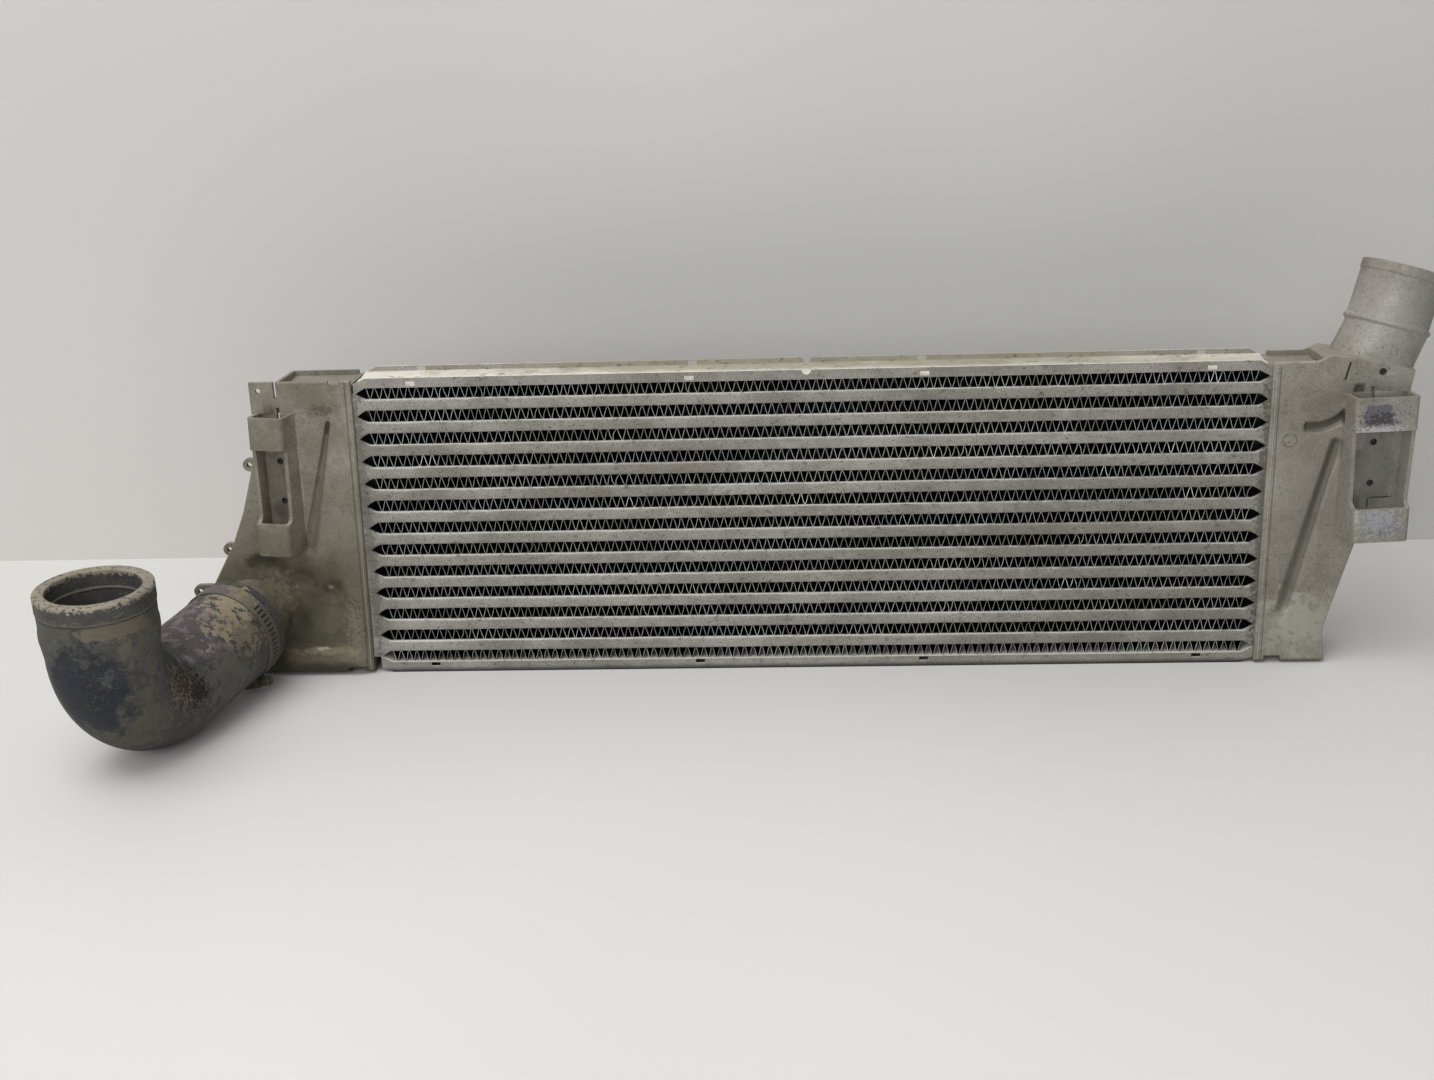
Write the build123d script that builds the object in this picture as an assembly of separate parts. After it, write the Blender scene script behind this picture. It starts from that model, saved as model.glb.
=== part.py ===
from build123d import *
from math import cos, radians, sin, sqrt
import os

os.makedirs("parts", exist_ok=True)

# Charge air cooler (intercooler), in millimetres.
# X runs along the core, Y from the front face to the back, Z up.
# The origin is the middle of the lower front edge of the core.

# ---------------------------------------------------------------- driving sizes
# Core
core_length = 615.0  # between the points where the fin openings close
core_depth = 40.0
tube_count = 12
tube_height = 8.0
tube_wall = 0.6
tube_nose_chamfer = 1.6
fin_gap = 8.3
flare_length = 7.0  # each tube widens to the full pitch over this length
tube_end_length = 9.0  # widened ends, held by the tanks
fin_wave = 23.6
fin_sheet = 0.5
fin_recess = 1.8
turbulator_wave = 12.0
turbulator_sheet = 0.3

# Side plates
plate_sheet = 1.2
lower_flange = 7.8
upper_front_flange = 6.8
upper_back_flange = 4.7
plate_slot_length = 6.3
plate_slot_height = 2.9
plate_slot_offsets = (-269.0, -79.0, 79.0, 269.0)
plate_notch_radius = 3.3
plate_corner_length = 8.2
plate_corner_height = 4.2

# Cast tanks: heights above the base, or drops below the top of the front wall
seat_clearance = 0.1
tank_lip_overlap = 0.9  # from the fin openings to the lip of the tank
left_lip_slant = 4.2
tank_wall = 2.4
tank_rim_wall = 3.0
tank_edge_radius = 1.4
tank_bottom = 1.8
tank_rise = 6.0  # front wall above the stack of tubes and fins
tank_back_drop = 4.2
tank_shoulder = 4.3  # right tank only, where the rim climbs to the neck
tank_shoulder_span = (29.0, 39.0)
left_top_width = 52.6
core_side_wall = 4.6  # wall of the top pocket beside the core, lower than the rim
core_side_drop = 2.7
pocket_floor = 2.8
left_notch = (9.0, 16.6, 2.2)  # from, to and depth, in the rim of the front wall
foot_notch_width = 11.0
foot_notch_height = 3.6
left_foot_notch = 22.1  # from the lip to the outer side of the notch
right_foot_notch = 18.3

# Outer edge of each tank: distances from the lip with a drop, a rise or a height
left_side_drop = 28.0  # upright run under the top corner
left_waist = (86.2, 124.0)  # height
upper_ear_seat = (2.5, 1.0)  # from the edge beside an ear to the middle of the ear
lower_ear_seat = (3.5, -5.2)
neck_flank = ((-3.4, 21.0), (0.6, -1.0), (-7.4, -25.0))  # from the outermost side of the neck
left_foot_inset = 23.4  # from the same side
shoulder_end = (54.0, 2.0)  # rise
right_crown = ((92.6, 7.6), (90.2, 22.4))  # drops
right_flank = ((62.7, 88.0), (51.0, 45.0), (46.9, 29.0), (46.3, 21.5))  # heights
right_foot = 48.4

# Grooves of the front walls: distances from the lip with a drop or a height
groove_depth = 1.2
left_groove_top = (19.2, 32.0)  # drop
left_groove_foot = (40.6, 101.5)  # height
left_groove_widths = (2.4, 7.5)
right_groove_foot = (17.2, 43.5)  # height
right_groove_top = (44.1, 160.0)  # height
right_groove_widths = (7.3, 4.6)
curved_groove = ((24.6, 45.0), (44.0, 41.0), (56.1, 20.0))  # drops
curved_groove_width = 6.3
lug_groove = ((47.2, 12.5), (50.0, 1.5))  # drops
lug_groove_width = 1.6

# Necks: the hose slides over the tube as far as the stop bead
neck_radius = 27.0
neck_wall = 3.0
neck_bead_height = 1.6
neck_bead_half_width = 1.6
neck_length = 39.0  # from the middle of the stop bead to the open end
neck_lip_length = 7.0
neck_lip_height = 0.6
inlet_offset = 92.0  # from the tank lip to the middle of the hose end
inlet_reach = 12.9  # from the front wall to the middle of the hose end
outlet_offset = 78.8
outlet_behind = 5.0  # behind the middle of the core
outlet_rise = 22.9  # from the top of the stack to the middle of the stop bead
outlet_lean_out = 16.8  # degrees
outlet_lean_back = 12.5  # degrees
outlet_root_drop = 18.0
outlet_root_span = (34.0, 91.5)
outlet_root_corner = 16.0
outlet_root_gap = 2.0  # bare neck between the stop bead and the casting

# Elbow hose: a cuff round the neck, a swell, a bend, a swell and an upright cuff
hose_wall = 7.6
hose_pipe_radius = 35.6  # outside, at the bend
hose_arm_radius = 37.4  # outside, at the open end
hose_turn = 71.4  # degrees from -X towards -Y
hose_dip = 6.4  # degrees below the horizontal
hose_cuff = 42.0
hose_swell = 44.0
hose_bend_radius = 52.6
hose_arm_swell = 12.0
hose_arm_cuff = 29.8
hose_foot = 0.1  # underside of the bend above the base

# Worm drive clamp
band_offset = 8.6  # from the hose end to the band
band_width = 12.0
band_sheet = 0.9
band_slot_count = 14
band_slot_pitch = 6.0  # degrees
band_slot_start = -35.0  # degrees round the band, from the core side towards +Z
band_slot_size = (1.7, 6.0)
worm_angle = -76.0  # degrees, as for the slots
worm_box_size = (15.0, 11.0, 7.0)
worm_box_corner = 3.15
worm_radius = 2.6
worm_head_radius = 4.0
worm_head_length = 5.0
worm_slot = (1.2, 1.5)  # width and depth
worm_overhang = 4.0
worm_tail = 1.0  # of the overhang, the end that stands out behind the housing

# Sleeve brackets, from the top of the front wall down
sleeve_drop = 21.8
sleeve_length = 99.0
sleeve_lintel = 22.6
sleeve_sill = 22.8
sleeve_wall = 2.6
sleeve_corner = 3.2
sleeve_window_cut = 6.5
sleeve_slit = (2.0, 4.0)
sleeve_slit_share = 0.42
sleeve_hole_radius = 2.3
blind_hole_depth = 2.0
sleeve_hole_drops = (34.3, 63.2)
# Each sleeve: distance from the lip, turn in degrees, how far along its back wall the
# blind holes are, and its corners at the top and at the foot as (along, forward)
left_sleeve = (41.5, 10.7, 13.5)
left_sleeve_top = ((0.0, 0.0), (25.9, 0.0), (29.2, 16.0), (2.7, 15.6))
left_sleeve_foot = ((2.0, 0.0), (27.5, 0.0), (30.8, 19.1), (6.4, 18.6))
right_sleeve = (47.4, 4.1, 21.3)
right_sleeve_top = ((0.0, 0.0), (43.2, 0.0), (46.0, 16.2), (2.4, 16.7))
right_sleeve_foot = ((0.0, 0.0), (39.6, 0.0), (44.3, 21.3), (7.2, 22.2))

# Ears and lugs: distance from the lip and height or drop
ear_radius = 4.6
ear_hole_radius = 1.9
ear_thickness = 4.0
upper_ear = (77.6, 59.0)  # drop
lower_ear = (99.1, 96.5)  # height
arm_ear = (124.3, 65.0)  # height
arm_width = 9.5
lug_sheet = 3.0
lug_slot_width = 1.8
left_lug_size = (18.5, 22.0)
left_lug_hole = (65.1, 6.0, 1.9)  # drop and radius last
right_lug_hole = (71.3, 8.0, 2.5)

# ---------------------------------------------------------------- worked out sizes
half_core = core_length / 2
tube_pitch = tube_height + fin_gap
stack_bottom = lower_flange
stack_top = stack_bottom + (tube_count + 1) * fin_gap + tube_count * tube_height
tube_span = half_core + tube_end_length
ends_bottom = stack_bottom + fin_gap / 2
ends_top = stack_top - fin_gap / 2
tank_lip = half_core + tank_lip_overlap
tank_top = stack_top + tank_rise
tank_front = -tank_wall - seat_clearance
tank_back = core_depth + tank_wall + seat_clearance
plate_end = tank_lip - seat_clearance
sleeve_top = tank_top - sleeve_drop
sleeve_bottom = sleeve_top - sleeve_length
stop_gap = neck_bead_half_width + neck_bead_height / 2 + seat_clearance
hose_bore = neck_radius + seat_clearance
hose_radius = hose_bore + hose_wall
band_radius = hose_radius + seat_clearance
worm_base = band_radius + band_sheet


def region(*points):
    """Flat face inside a closed run of straight lines."""
    return make_face(Polyline(*points, close=True).edges())


def xz_prism(outline, front, back):
    """Solid between two Y planes whose outline is a sketch in X and Z."""
    return extrude(Plane.XZ.offset(-front) * outline, amount=front - back)


def block(x_range, y_range, z_range):
    """Box given by its limits on each axis."""
    ranges = (x_range, y_range, z_range)
    middle = [(low + high) / 2 for low, high in ranges]
    size = [high - low for low, high in ranges]
    return Pos(*middle) * Box(*size)


# ---------------------------------------------------------------- core
def corrugation(length, height, wave, sheet):
    """Folded strip seen from its edge, which zigzags between its two sides."""
    folds = 2 * max(1, round(length / wave))
    lower = []
    for fold in range(folds + 1):
        x = length * (fold / folds - 0.5)
        lower.append((x, (height - sheet) * (fold % 2)))
    upper = [(x, z + sheet) for x, z in reversed(lower)]
    return region(*lower, *upper)


def tube_form(inset):
    """Flat tube along X whose ends widen to the full pitch; the inset gives its hollow."""

    def section(x, height):
        outline = Rectangle(core_depth - 2 * inset, height - 2 * inset)
        outline = chamfer(outline.vertices(), tube_nose_chamfer - inset * (2 - sqrt(2)))
        return Plane.YZ.offset(x) * Pos(core_depth / 2, 0) * outline

    straight = half_core - flare_length
    form = extrude(section(-straight, tube_height), amount=2 * straight)
    for side in (-1, 1):
        flare = (section(side * straight, tube_height), section(side * half_core, tube_pitch))
        form += loft(flare, ruled=True)
        form += extrude(section(side * half_core, tube_pitch), amount=side * tube_end_length)
    return form


def make_tube():
    """One tube round its own middle height."""
    return tube_form(0.0) - tube_form(tube_wall)


def make_turbulator():
    """Folded sheet inside a tube that touches its upper and lower walls."""
    height = tube_height - 2 * tube_wall
    width = core_depth - 2 * (tube_nose_chamfer + tube_wall)
    profile = corrugation(width, height, turbulator_wave, turbulator_sheet)
    end = Plane.YZ.offset(flare_length - half_core)
    return extrude(end * Pos(core_depth / 2, -height / 2) * profile, amount=core_length - 2 * flare_length)


def make_air_fin():
    """Folded strip in the gap between two tubes, from the foot of the gap."""
    profile = corrugation(core_length - 2 * flare_length, fin_gap, fin_wave, fin_sheet)
    return xz_prism(profile, fin_recess, core_depth - fin_recess)


def channel(fin_face, front_edge, back_edge):
    """Folded side plate: a web beside the fins and a flange along each long edge."""
    web = fin_face + (plate_sheet if front_edge > fin_face else -plate_sheet)
    profile = region(
        (0, fin_face),
        (core_depth, fin_face),
        (core_depth, back_edge),
        (core_depth - plate_sheet, back_edge),
        (core_depth - plate_sheet, web),
        (plate_sheet, web),
        (plate_sheet, front_edge),
        (0, front_edge),
    )
    return extrude(Plane.YZ.offset(-plate_end) * profile, amount=2 * plate_end)


def plate_end_wedges(fin_face, towards_fins):
    """Thickened ends of a side plate, which close the outermost fin openings."""
    inner = half_core - flare_length
    tip = fin_face + towards_fins * fin_gap / 2
    back = fin_face - towards_fins * plate_sheet
    wedges = []
    for side in (-1, 1):
        outline = region(
            (side * inner, fin_face),
            (side * half_core, tip),
            (side * plate_end, tip),
            (side * plate_end, back),
            (side * inner, back),
        )
        wedges.append(xz_prism(outline, 0, core_depth))
    return wedges


def corner_cuts(edge_height, inwards, y_range):
    """Triangles taken off both ends of a flange."""
    cuts = []
    for side in (-1, 1):
        start = side * (plate_end - plate_corner_length)
        outline = region(
            (start, edge_height),
            (start, edge_height - inwards),
            (side * (plate_end + 1), edge_height - inwards),
            (side * (plate_end + 1), edge_height + inwards * plate_corner_height),
            (side * plate_end, edge_height + inwards * plate_corner_height),
        )
        cuts.append(xz_prism(outline, *y_range))
    return cuts


def plate_slots(z_range, y_range):
    """Row of rectangular slots through a flange."""
    half = plate_slot_length / 2
    return [block((x - half, x + half), y_range, z_range) for x in plate_slot_offsets]


def make_lower_plate():
    """Side plate under the core, whose flanges are the feet of the cooler."""
    plate = channel(stack_bottom, 0.0, 0.0) + plate_end_wedges(stack_bottom, 1)
    slot_top = stack_bottom - plate_sheet / 2
    plate -= plate_slots((slot_top - plate_slot_height, slot_top), (-1, plate_sheet + 1))
    return plate - corner_cuts(0.0, 1, (-1, core_depth + 1))


def make_upper_plate():
    """Side plate over the core, open upwards, with a lower flange at the back."""
    edges = (
        (stack_top + upper_front_flange, (-1, core_depth / 2)),
        (stack_top + upper_back_flange, (core_depth / 2, core_depth + 1)),
    )
    plate = channel(stack_top, edges[0][0], edges[1][0]) + plate_end_wedges(stack_top, -1)
    web = stack_top + plate_sheet
    plate -= plate_slots((web, web + plate_slot_height), (-1, plate_sheet + 1))
    plate -= plate_slots((web, web + plate_slot_height), (core_depth - 2, core_depth + 1))
    for edge, y_range in edges:
        plate -= corner_cuts(edge, -1, y_range)
        plate -= xz_prism(Pos(0, edge) * Circle(plate_notch_radius), *y_range)
    return plate


# ---------------------------------------------------------------- line of the inlet hose
hose_forward = Vector(-cos(radians(hose_turn)), -sin(radians(hose_turn)), 0)
hose_up = Vector(0, 0, 1)
hose_side = hose_forward.cross(hose_up)


def hose_tangent(elevation):
    """Direction of the hose where it climbs at this angle."""
    return hose_forward * cos(radians(elevation)) + hose_up * sin(radians(elevation))


def hose_outward(elevation):
    """Direction from the middle of the bend to the hose where it climbs at this angle."""
    return hose_forward * sin(radians(elevation)) - hose_up * cos(radians(elevation))


hose_run = hose_tangent(-hose_dip) * (hose_cuff + hose_swell)
start_to_bend = hose_run - hose_outward(-hose_dip) * hose_bend_radius
hose_start_height = hose_foot + hose_pipe_radius + hose_bend_radius - start_to_bend.Z
hose_start = Vector(-tank_lip - inlet_offset, tank_front - inlet_reach, hose_start_height)
bend_middle = hose_start + start_to_bend


def hose_station(elevation):
    """Plane across the bend of the hose where it climbs at this angle."""
    origin = bend_middle + hose_outward(elevation) * hose_bend_radius
    return Plane(origin=origin, z_dir=hose_tangent(elevation), x_dir=hose_side)


bend_start_plane = hose_station(-hose_dip)
hose_end_plane = bend_start_plane.offset(-hose_cuff - hose_swell)
inlet_plane = hose_end_plane.offset(-stop_gap)
outlet_bead = (tank_lip + outlet_offset, core_depth / 2 + outlet_behind, stack_top + outlet_rise)
lean_out = radians(outlet_lean_out)
outlet_axis = Vector(sin(lean_out), sin(radians(outlet_lean_back)), cos(lean_out))
outlet_plane = Plane(origin=outlet_bead, z_dir=outlet_axis, x_dir=(outlet_axis.Z, 0, -outlet_axis.X))


# ---------------------------------------------------------------- tanks
def tank_outline(side, points):
    """Face in X and Z, from distances outwards from the lip of a tank and heights."""
    return region(*[(side * (tank_lip + out), height) for out, height in points])


def tank_block(side, out_range, y_range, z_range):
    """Box whose X limits are distances outwards from the lip."""
    x_range = sorted(side * (tank_lip + out) for out in out_range)
    return block(x_range, y_range, z_range)


def foot_notch(start):
    """Corners of the notch in the underside of a tank, from the outer side to the core."""
    step = tank_bottom + foot_notch_height
    end = start - foot_notch_width
    return ((start, tank_bottom), (start, step), (end, step), (end, tank_bottom))


def tank_box(outline):
    """Outside of a tank, with its front edges rounded like a casting."""
    box = xz_prism(outline, tank_front, tank_back)
    front_face = box.faces().sort_by(Axis.Y)[0]
    return fillet(front_face.edges(), tank_edge_radius)


def tank_hollow(outline, side):
    """Inside of a tank, open on the side of the core round the tube ends."""
    depth = (-seat_clearance, core_depth + seat_clearance)
    heights = (ends_bottom - seat_clearance, ends_top + seat_clearance)
    inside = xz_prism(offset(outline, amount=-tank_rim_wall, kind=Kind.INTERSECTION), *depth)
    inside = split(inside, bisect_by=Plane.XY.offset(heights[1]), keep=Keep.BOTTOM)
    return inside + tank_block(side, (-1, tube_end_length + 2), depth, heights)


def rim_cut(side, rim):
    """What is cut off over a run of points of the rim, which falls from the front wall to the back."""
    low_side = tank_top - core_side_drop
    above = tank_top + 40
    points = ((-1, low_side), (core_side_wall, low_side), *rim, (rim[-1][0], above), (-1, above))
    fall = Vector(0, tank_back - tank_front, -tank_back_drop)
    profile = Pos(0, -seat_clearance, 0) * Plane.XZ * tank_outline(side, points)
    return extrude(profile, amount=fall.length, dir=fall)


def top_pocket(side, end):
    """Open pocket in the top of a tank, inside its rim."""
    floor = ends_top + seat_clearance + pocket_floor
    y_range = (-seat_clearance, core_depth + seat_clearance)
    return tank_block(side, (core_side_wall, end), y_range, (floor, floor + 30))


def groove(side, ends, widths):
    """Shallow straight groove with round ends in the front wall."""
    edges = []
    for (out, height), width in zip(ends, widths):
        edges += (Pos(side * (tank_lip + out), height) * Circle(width / 2)).edges()
    return xz_prism(make_hull(edges), tank_front - 1, tank_front + groove_depth)


def arc_groove(side, points, width):
    """Shallow groove along an arc through three points of the front wall, given by drops."""
    arc = ThreePointArc(*[(side * (tank_lip + out), tank_top - drop) for out, drop in points])
    return xz_prism(SlotArc(arc, width), tank_front - 1, tank_front + groove_depth)


def ear(side, out, height):
    """Small ear at the front of a tank."""
    disc = Pos(side * (tank_lip + out), height) * Circle(ear_radius)
    return xz_prism(disc, tank_front + 1, tank_front + 1 + ear_thickness)


def drilled(side, out, height, radius, depth):
    """Hole of this depth in the front wall, an ear or a lug of a tank."""
    disc = Pos(side * (tank_lip + out), height) * Circle(radius)
    return xz_prism(disc, tank_front - 1, tank_front + depth)


def sleeve_section(corners, inset):
    """Section of a sleeve bracket from above, with its front corners rounded."""
    outline = region(*[(along, -forward) for along, forward in corners])
    outline = offset(outline, amount=-inset, kind=Kind.INTERSECTION) if inset else outline
    return fillet(outline.vertices().sort_by(Axis.Y)[:2], sleeve_corner - inset / 2)


def sleeve_loft(top, foot, inset, overrun):
    """Tapered tube of a sleeve bracket, from its foot to its top."""
    low = Pos(0, 0, sleeve_bottom - overrun) * sleeve_section(foot, inset)
    high = Pos(0, 0, sleeve_top + overrun) * sleeve_section(top, inset)
    return loft((low, high), ruled=True)


def sleeve_cuts(top, foot, hole_place):
    """Everything taken out of a sleeve: its hollow, window, back slit and blind holes."""
    ends = (-2, max(along for along, _ in top) + 2)
    sill = sleeve_bottom + sleeve_sill
    sill_depth = foot[2][1] + (top[2][1] - foot[2][1]) * sleeve_sill / sleeve_length
    front = -foot[3][1] - 1
    window = block(ends, (front, sleeve_window_cut - sill_depth), (sill, sleeve_top - sleeve_lintel))
    sill_corner = window.edges().filter_by(Axis.X).sort_by(Axis.Z)[:2].sort_by(Axis.Y)[-1:]
    cuts = sleeve_loft(top, foot, sleeve_wall, 0.01) + fillet(sill_corner, sleeve_window_cut - 1)
    slit_width, slit_depth = sleeve_slit
    slit = Box(slit_width, sleeve_wall + 1, 2 * slit_depth)
    cuts += Pos(top[1][0] * sleeve_slit_share, -sleeve_wall / 2, sleeve_top) * slit
    for drop in sleeve_hole_drops:
        hole = Pos(hole_place, sleeve_top - drop) * Circle(sleeve_hole_radius)
        cuts += xz_prism(hole, -sleeve_wall - 1, blind_hole_depth - sleeve_wall)
    return cuts


def place_sleeve(side, sleeve, part):
    """Part of a sleeve moved to the front of its tank and turned outwards."""
    placed = Pos(tank_lip + sleeve[0], tank_front + seat_clearance, 0) * Rot(0, 0, sleeve[1]) * part
    return placed if side > 0 else mirror(placed, about=Plane.YZ)


def neck_form(root_length):
    """Outside of a hose neck round Z, with its stop bead at the origin and a lip at the open end."""
    lip_start = neck_length - neck_lip_length
    bead_radius = neck_radius + neck_bead_height
    lip_radius = neck_radius + neck_lip_height
    profile = region(
        (0, -root_length),
        (neck_radius, -root_length),
        (neck_radius, -neck_bead_half_width - neck_bead_height / 2),
        (bead_radius, neck_bead_height / 2 - neck_bead_half_width),
        (bead_radius, neck_bead_half_width - neck_bead_height / 2),
        (neck_radius, neck_bead_half_width + neck_bead_height / 2),
        (neck_radius, lip_start),
        (lip_radius, lip_start + neck_lip_height),
        (lip_radius, neck_length - neck_lip_height),
        (neck_radius, neck_length),
        (0, neck_length),
    )
    return revolve(Plane.XZ * profile, axis=Axis.Z)


def neck_bore(plane, root_length):
    """Straight bore through a neck, from its root to past its open end."""
    disc = plane.offset(-root_length) * Circle(neck_radius - neck_wall)
    return extrude(disc, amount=root_length + neck_length + 1)


def outlet_root(inset):
    """Blend from the round outlet neck down to the rectangular tank."""
    low, high = outlet_root_span
    size = (high - low - 2 * inset, tank_back - tank_front - 2 * inset)
    middle = (tank_lip + (low + high) / 2, (tank_front + tank_back) / 2, tank_top - outlet_root_drop)
    foot = Pos(*middle) * RectangleRounded(*size, outlet_root_corner - inset)
    mouth = outlet_plane.offset(-stop_gap - outlet_root_gap) * Circle(neck_radius - inset)
    return loft((foot, mouth), ruled=True)


def make_left_tank():
    """Inlet tank: widens downwards to the hose neck, with a sleeve bracket, ears and a lug."""
    side = -1
    neck_side = inlet_offset + neck_radius
    outline = tank_outline(
        side,
        (
            (0.8, tank_top),
            (left_top_width, tank_top),
            (left_top_width, tank_top - left_side_drop),
            (upper_ear[0] - upper_ear_seat[0], tank_top - upper_ear[1] + upper_ear_seat[1]),
            left_waist,
            (lower_ear[0] - lower_ear_seat[0], lower_ear[1] - lower_ear_seat[1]),
            *[(neck_side + out, hose_start_height + rise) for out, rise in neck_flank],
            (neck_side - left_foot_inset, tank_bottom),
            *foot_notch(left_foot_notch),
            (0.8 + left_lip_slant, tank_bottom),
        ),
    )
    lug_width, lug_height = left_lug_size
    lug_range = (tank_front, tank_front + lug_sheet)
    arm_range = (tank_front + 1, tank_front + 1 + ear_thickness)
    ears = ((upper_ear[0], tank_top - upper_ear[1]), lower_ear, arm_ear)
    sleeve = place_sleeve(side, left_sleeve, sleeve_loft(left_sleeve_top, left_sleeve_foot, 0.0, 0.0))
    hollows = sleeve_cuts(left_sleeve_top, left_sleeve_foot, left_sleeve[2])

    tank = tank_box(outline)
    lug_outs = (left_top_width - 1, left_top_width + lug_width)
    tank += tank_block(side, lug_outs, lug_range, (tank_top - lug_height, tank_top))
    tank += [ear(side, *place) for place in ears]
    arm_heights = (arm_ear[1] - arm_width / 2, arm_ear[1] + arm_width / 2)
    tank += tank_block(side, (lower_ear[0] - 3, arm_ear[0]), arm_range, arm_heights)
    tank += inlet_plane * neck_form(inlet_reach + core_depth / 3)
    groove_top = (left_groove_top[0], tank_top - left_groove_top[1])
    tank -= groove(side, (groove_top, left_groove_foot), left_groove_widths)
    tank += sleeve
    tank -= tank_hollow(outline, side) - sleeve
    tank -= place_sleeve(side, left_sleeve, hollows)
    tank -= neck_bore(inlet_plane, inlet_reach + core_depth / 3)
    tank -= rim_cut(side, ((core_side_wall, tank_top), (left_top_width, tank_top)))
    tank -= top_pocket(side, left_top_width - tank_wall)
    notch_start, notch_end, notch_depth = left_notch
    notch_heights = (tank_top - notch_depth, tank_top + 1)
    tank -= tank_block(side, (notch_start, notch_end), (tank_front - 1, 1), notch_heights)
    slot_outs = (left_top_width, left_top_width + lug_slot_width)
    slot_heights = (tank_top - lug_height / 2, tank_top + 1)
    tank -= tank_block(side, slot_outs, (tank_front - 1, lug_sheet), slot_heights)
    tank -= [drilled(side, *place, ear_hole_radius, ear_thickness + 2) for place in ears]
    hole_out, hole_drop, hole_radius = left_lug_hole
    tank -= drilled(side, hole_out, tank_top - hole_drop, hole_radius, lug_sheet + 1)
    return tank


def make_right_tank():
    """Outlet tank: widens upwards to the neck, with a sleeve bracket and a drilled lug."""
    side = 1
    root_length = stop_gap + outlet_root_gap
    climb_start, climb_end = tank_shoulder_span
    shoulder = (
        (climb_start, tank_top),
        (climb_end, tank_top + tank_shoulder),
        (shoulder_end[0], tank_top + shoulder_end[1]),
    )
    outline = tank_outline(
        side,
        (
            (0, tank_top),
            *shoulder,
            *[(out, tank_top - drop) for out, drop in right_crown],
            *right_flank,
            (right_foot, tank_bottom),
            *foot_notch(right_foot_notch),
            (0, tank_bottom),
        ),
    )
    sleeve = place_sleeve(side, right_sleeve, sleeve_loft(right_sleeve_top, right_sleeve_foot, 0.0, 0.0))
    hollows = sleeve_cuts(right_sleeve_top, right_sleeve_foot, right_sleeve[2])

    tank = tank_box(outline)
    tank -= rim_cut(side, ((core_side_wall, tank_top), *shoulder))
    tank += outlet_root(0.0)
    tank += outlet_plane * neck_form(root_length)
    tank -= groove(side, (right_groove_foot, right_groove_top), right_groove_widths)
    tank -= arc_groove(side, curved_groove, curved_groove_width)
    tank += sleeve
    tank -= tank_hollow(outline, side) - sleeve
    tank -= place_sleeve(side, right_sleeve, hollows)
    tank -= outlet_root(neck_wall)
    tank -= neck_bore(outlet_plane, root_length)
    tank -= top_pocket(side, outlet_root_span[0] - 1)
    hole_out, hole_drop, hole_radius = right_lug_hole
    tank -= drilled(side, hole_out, tank_top - hole_drop, hole_radius, blind_hole_depth)
    lug_groove_ends = [(out, tank_top - drop) for out, drop in lug_groove]
    tank -= groove(side, lug_groove_ends, (lug_groove_width, lug_groove_width))
    return tank


# ---------------------------------------------------------------- hose and clamp
def hose_form(inset):
    """The elbow as a solid cuff, swell, bend and arm, or its bore when inset by the wall."""
    start, pipe, rim = (radius - inset for radius in (hose_radius, hose_pipe_radius, hose_arm_radius))
    cuff = extrude(hose_end_plane * Circle(start), amount=hose_cuff)
    swell = bend_start_plane * Pos(0, 0, -hose_swell / 2) * Cone(start, pipe, hose_swell)
    bend_axis = Axis(bend_middle, hose_side)
    bend = revolve(bend_start_plane * Circle(pipe), axis=bend_axis, revolution_arc=90 + hose_dip)
    arm_swell = hose_station(90) * Pos(0, 0, hose_arm_swell / 2) * Cone(pipe, rim, hose_arm_swell)
    arm_cuff = extrude(hose_station(90).offset(hose_arm_swell) * Circle(rim), amount=hose_arm_cuff)
    return cuff + swell + bend + arm_swell + arm_cuff


def make_elbow_hose():
    """Moulded rubber elbow, with a relief in its bore for the lip of the neck."""
    relief_start = neck_length - stop_gap - neck_lip_length - seat_clearance
    relief = hose_end_plane.offset(relief_start) * Circle(hose_bore + neck_lip_height)
    relief_length = neck_lip_length + 2 * seat_clearance
    return hose_form(0) - hose_form(hose_wall) - extrude(relief, amount=relief_length)


def clamp_frame():
    """Plane in the middle of the clamp band whose X points to the core side."""
    middle = hose_end_plane.offset(band_offset + band_width / 2)
    return Plane(origin=middle.origin, z_dir=middle.z_dir, x_dir=-hose_side)


def make_clamp_band():
    """Perforated steel band round the hose end."""
    section = Circle(band_radius + band_sheet) - Circle(band_radius)
    ring = extrude(section, amount=band_width / 2, both=True)
    for index in range(band_slot_count):
        angle = band_slot_start + index * band_slot_pitch
        ring -= Rot(0, 0, angle) * Pos(band_radius, 0, 0) * Box(4, *band_slot_size)
    return clamp_frame() * ring


def worm_place():
    """Where the worm housing sits: X outwards from the band, Y along the screw."""
    return clamp_frame() * Rot(0, 0, worm_angle) * Pos(worm_base, 0, 0)


def make_worm_housing():
    """Pressed housing curved to the band, with a tunnel for the screw."""
    length, width, height = worm_box_size
    box = Pos(height / 2 - 1, 0, 0) * Box(height + 2, length, width)
    crown = box.edges().filter_by(Axis.Y).sort_by(Axis.X)[-2:]
    box = fillet(crown, worm_box_corner)
    box -= Pos(-worm_base, 0, 0) * Cylinder(worm_base, width + 10)
    tunnel = Rot(90, 0, 0) * Cylinder(worm_radius + seat_clearance, length + 2)
    return worm_place() * (box - Pos(height / 2, 0, 0) * tunnel)


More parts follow.
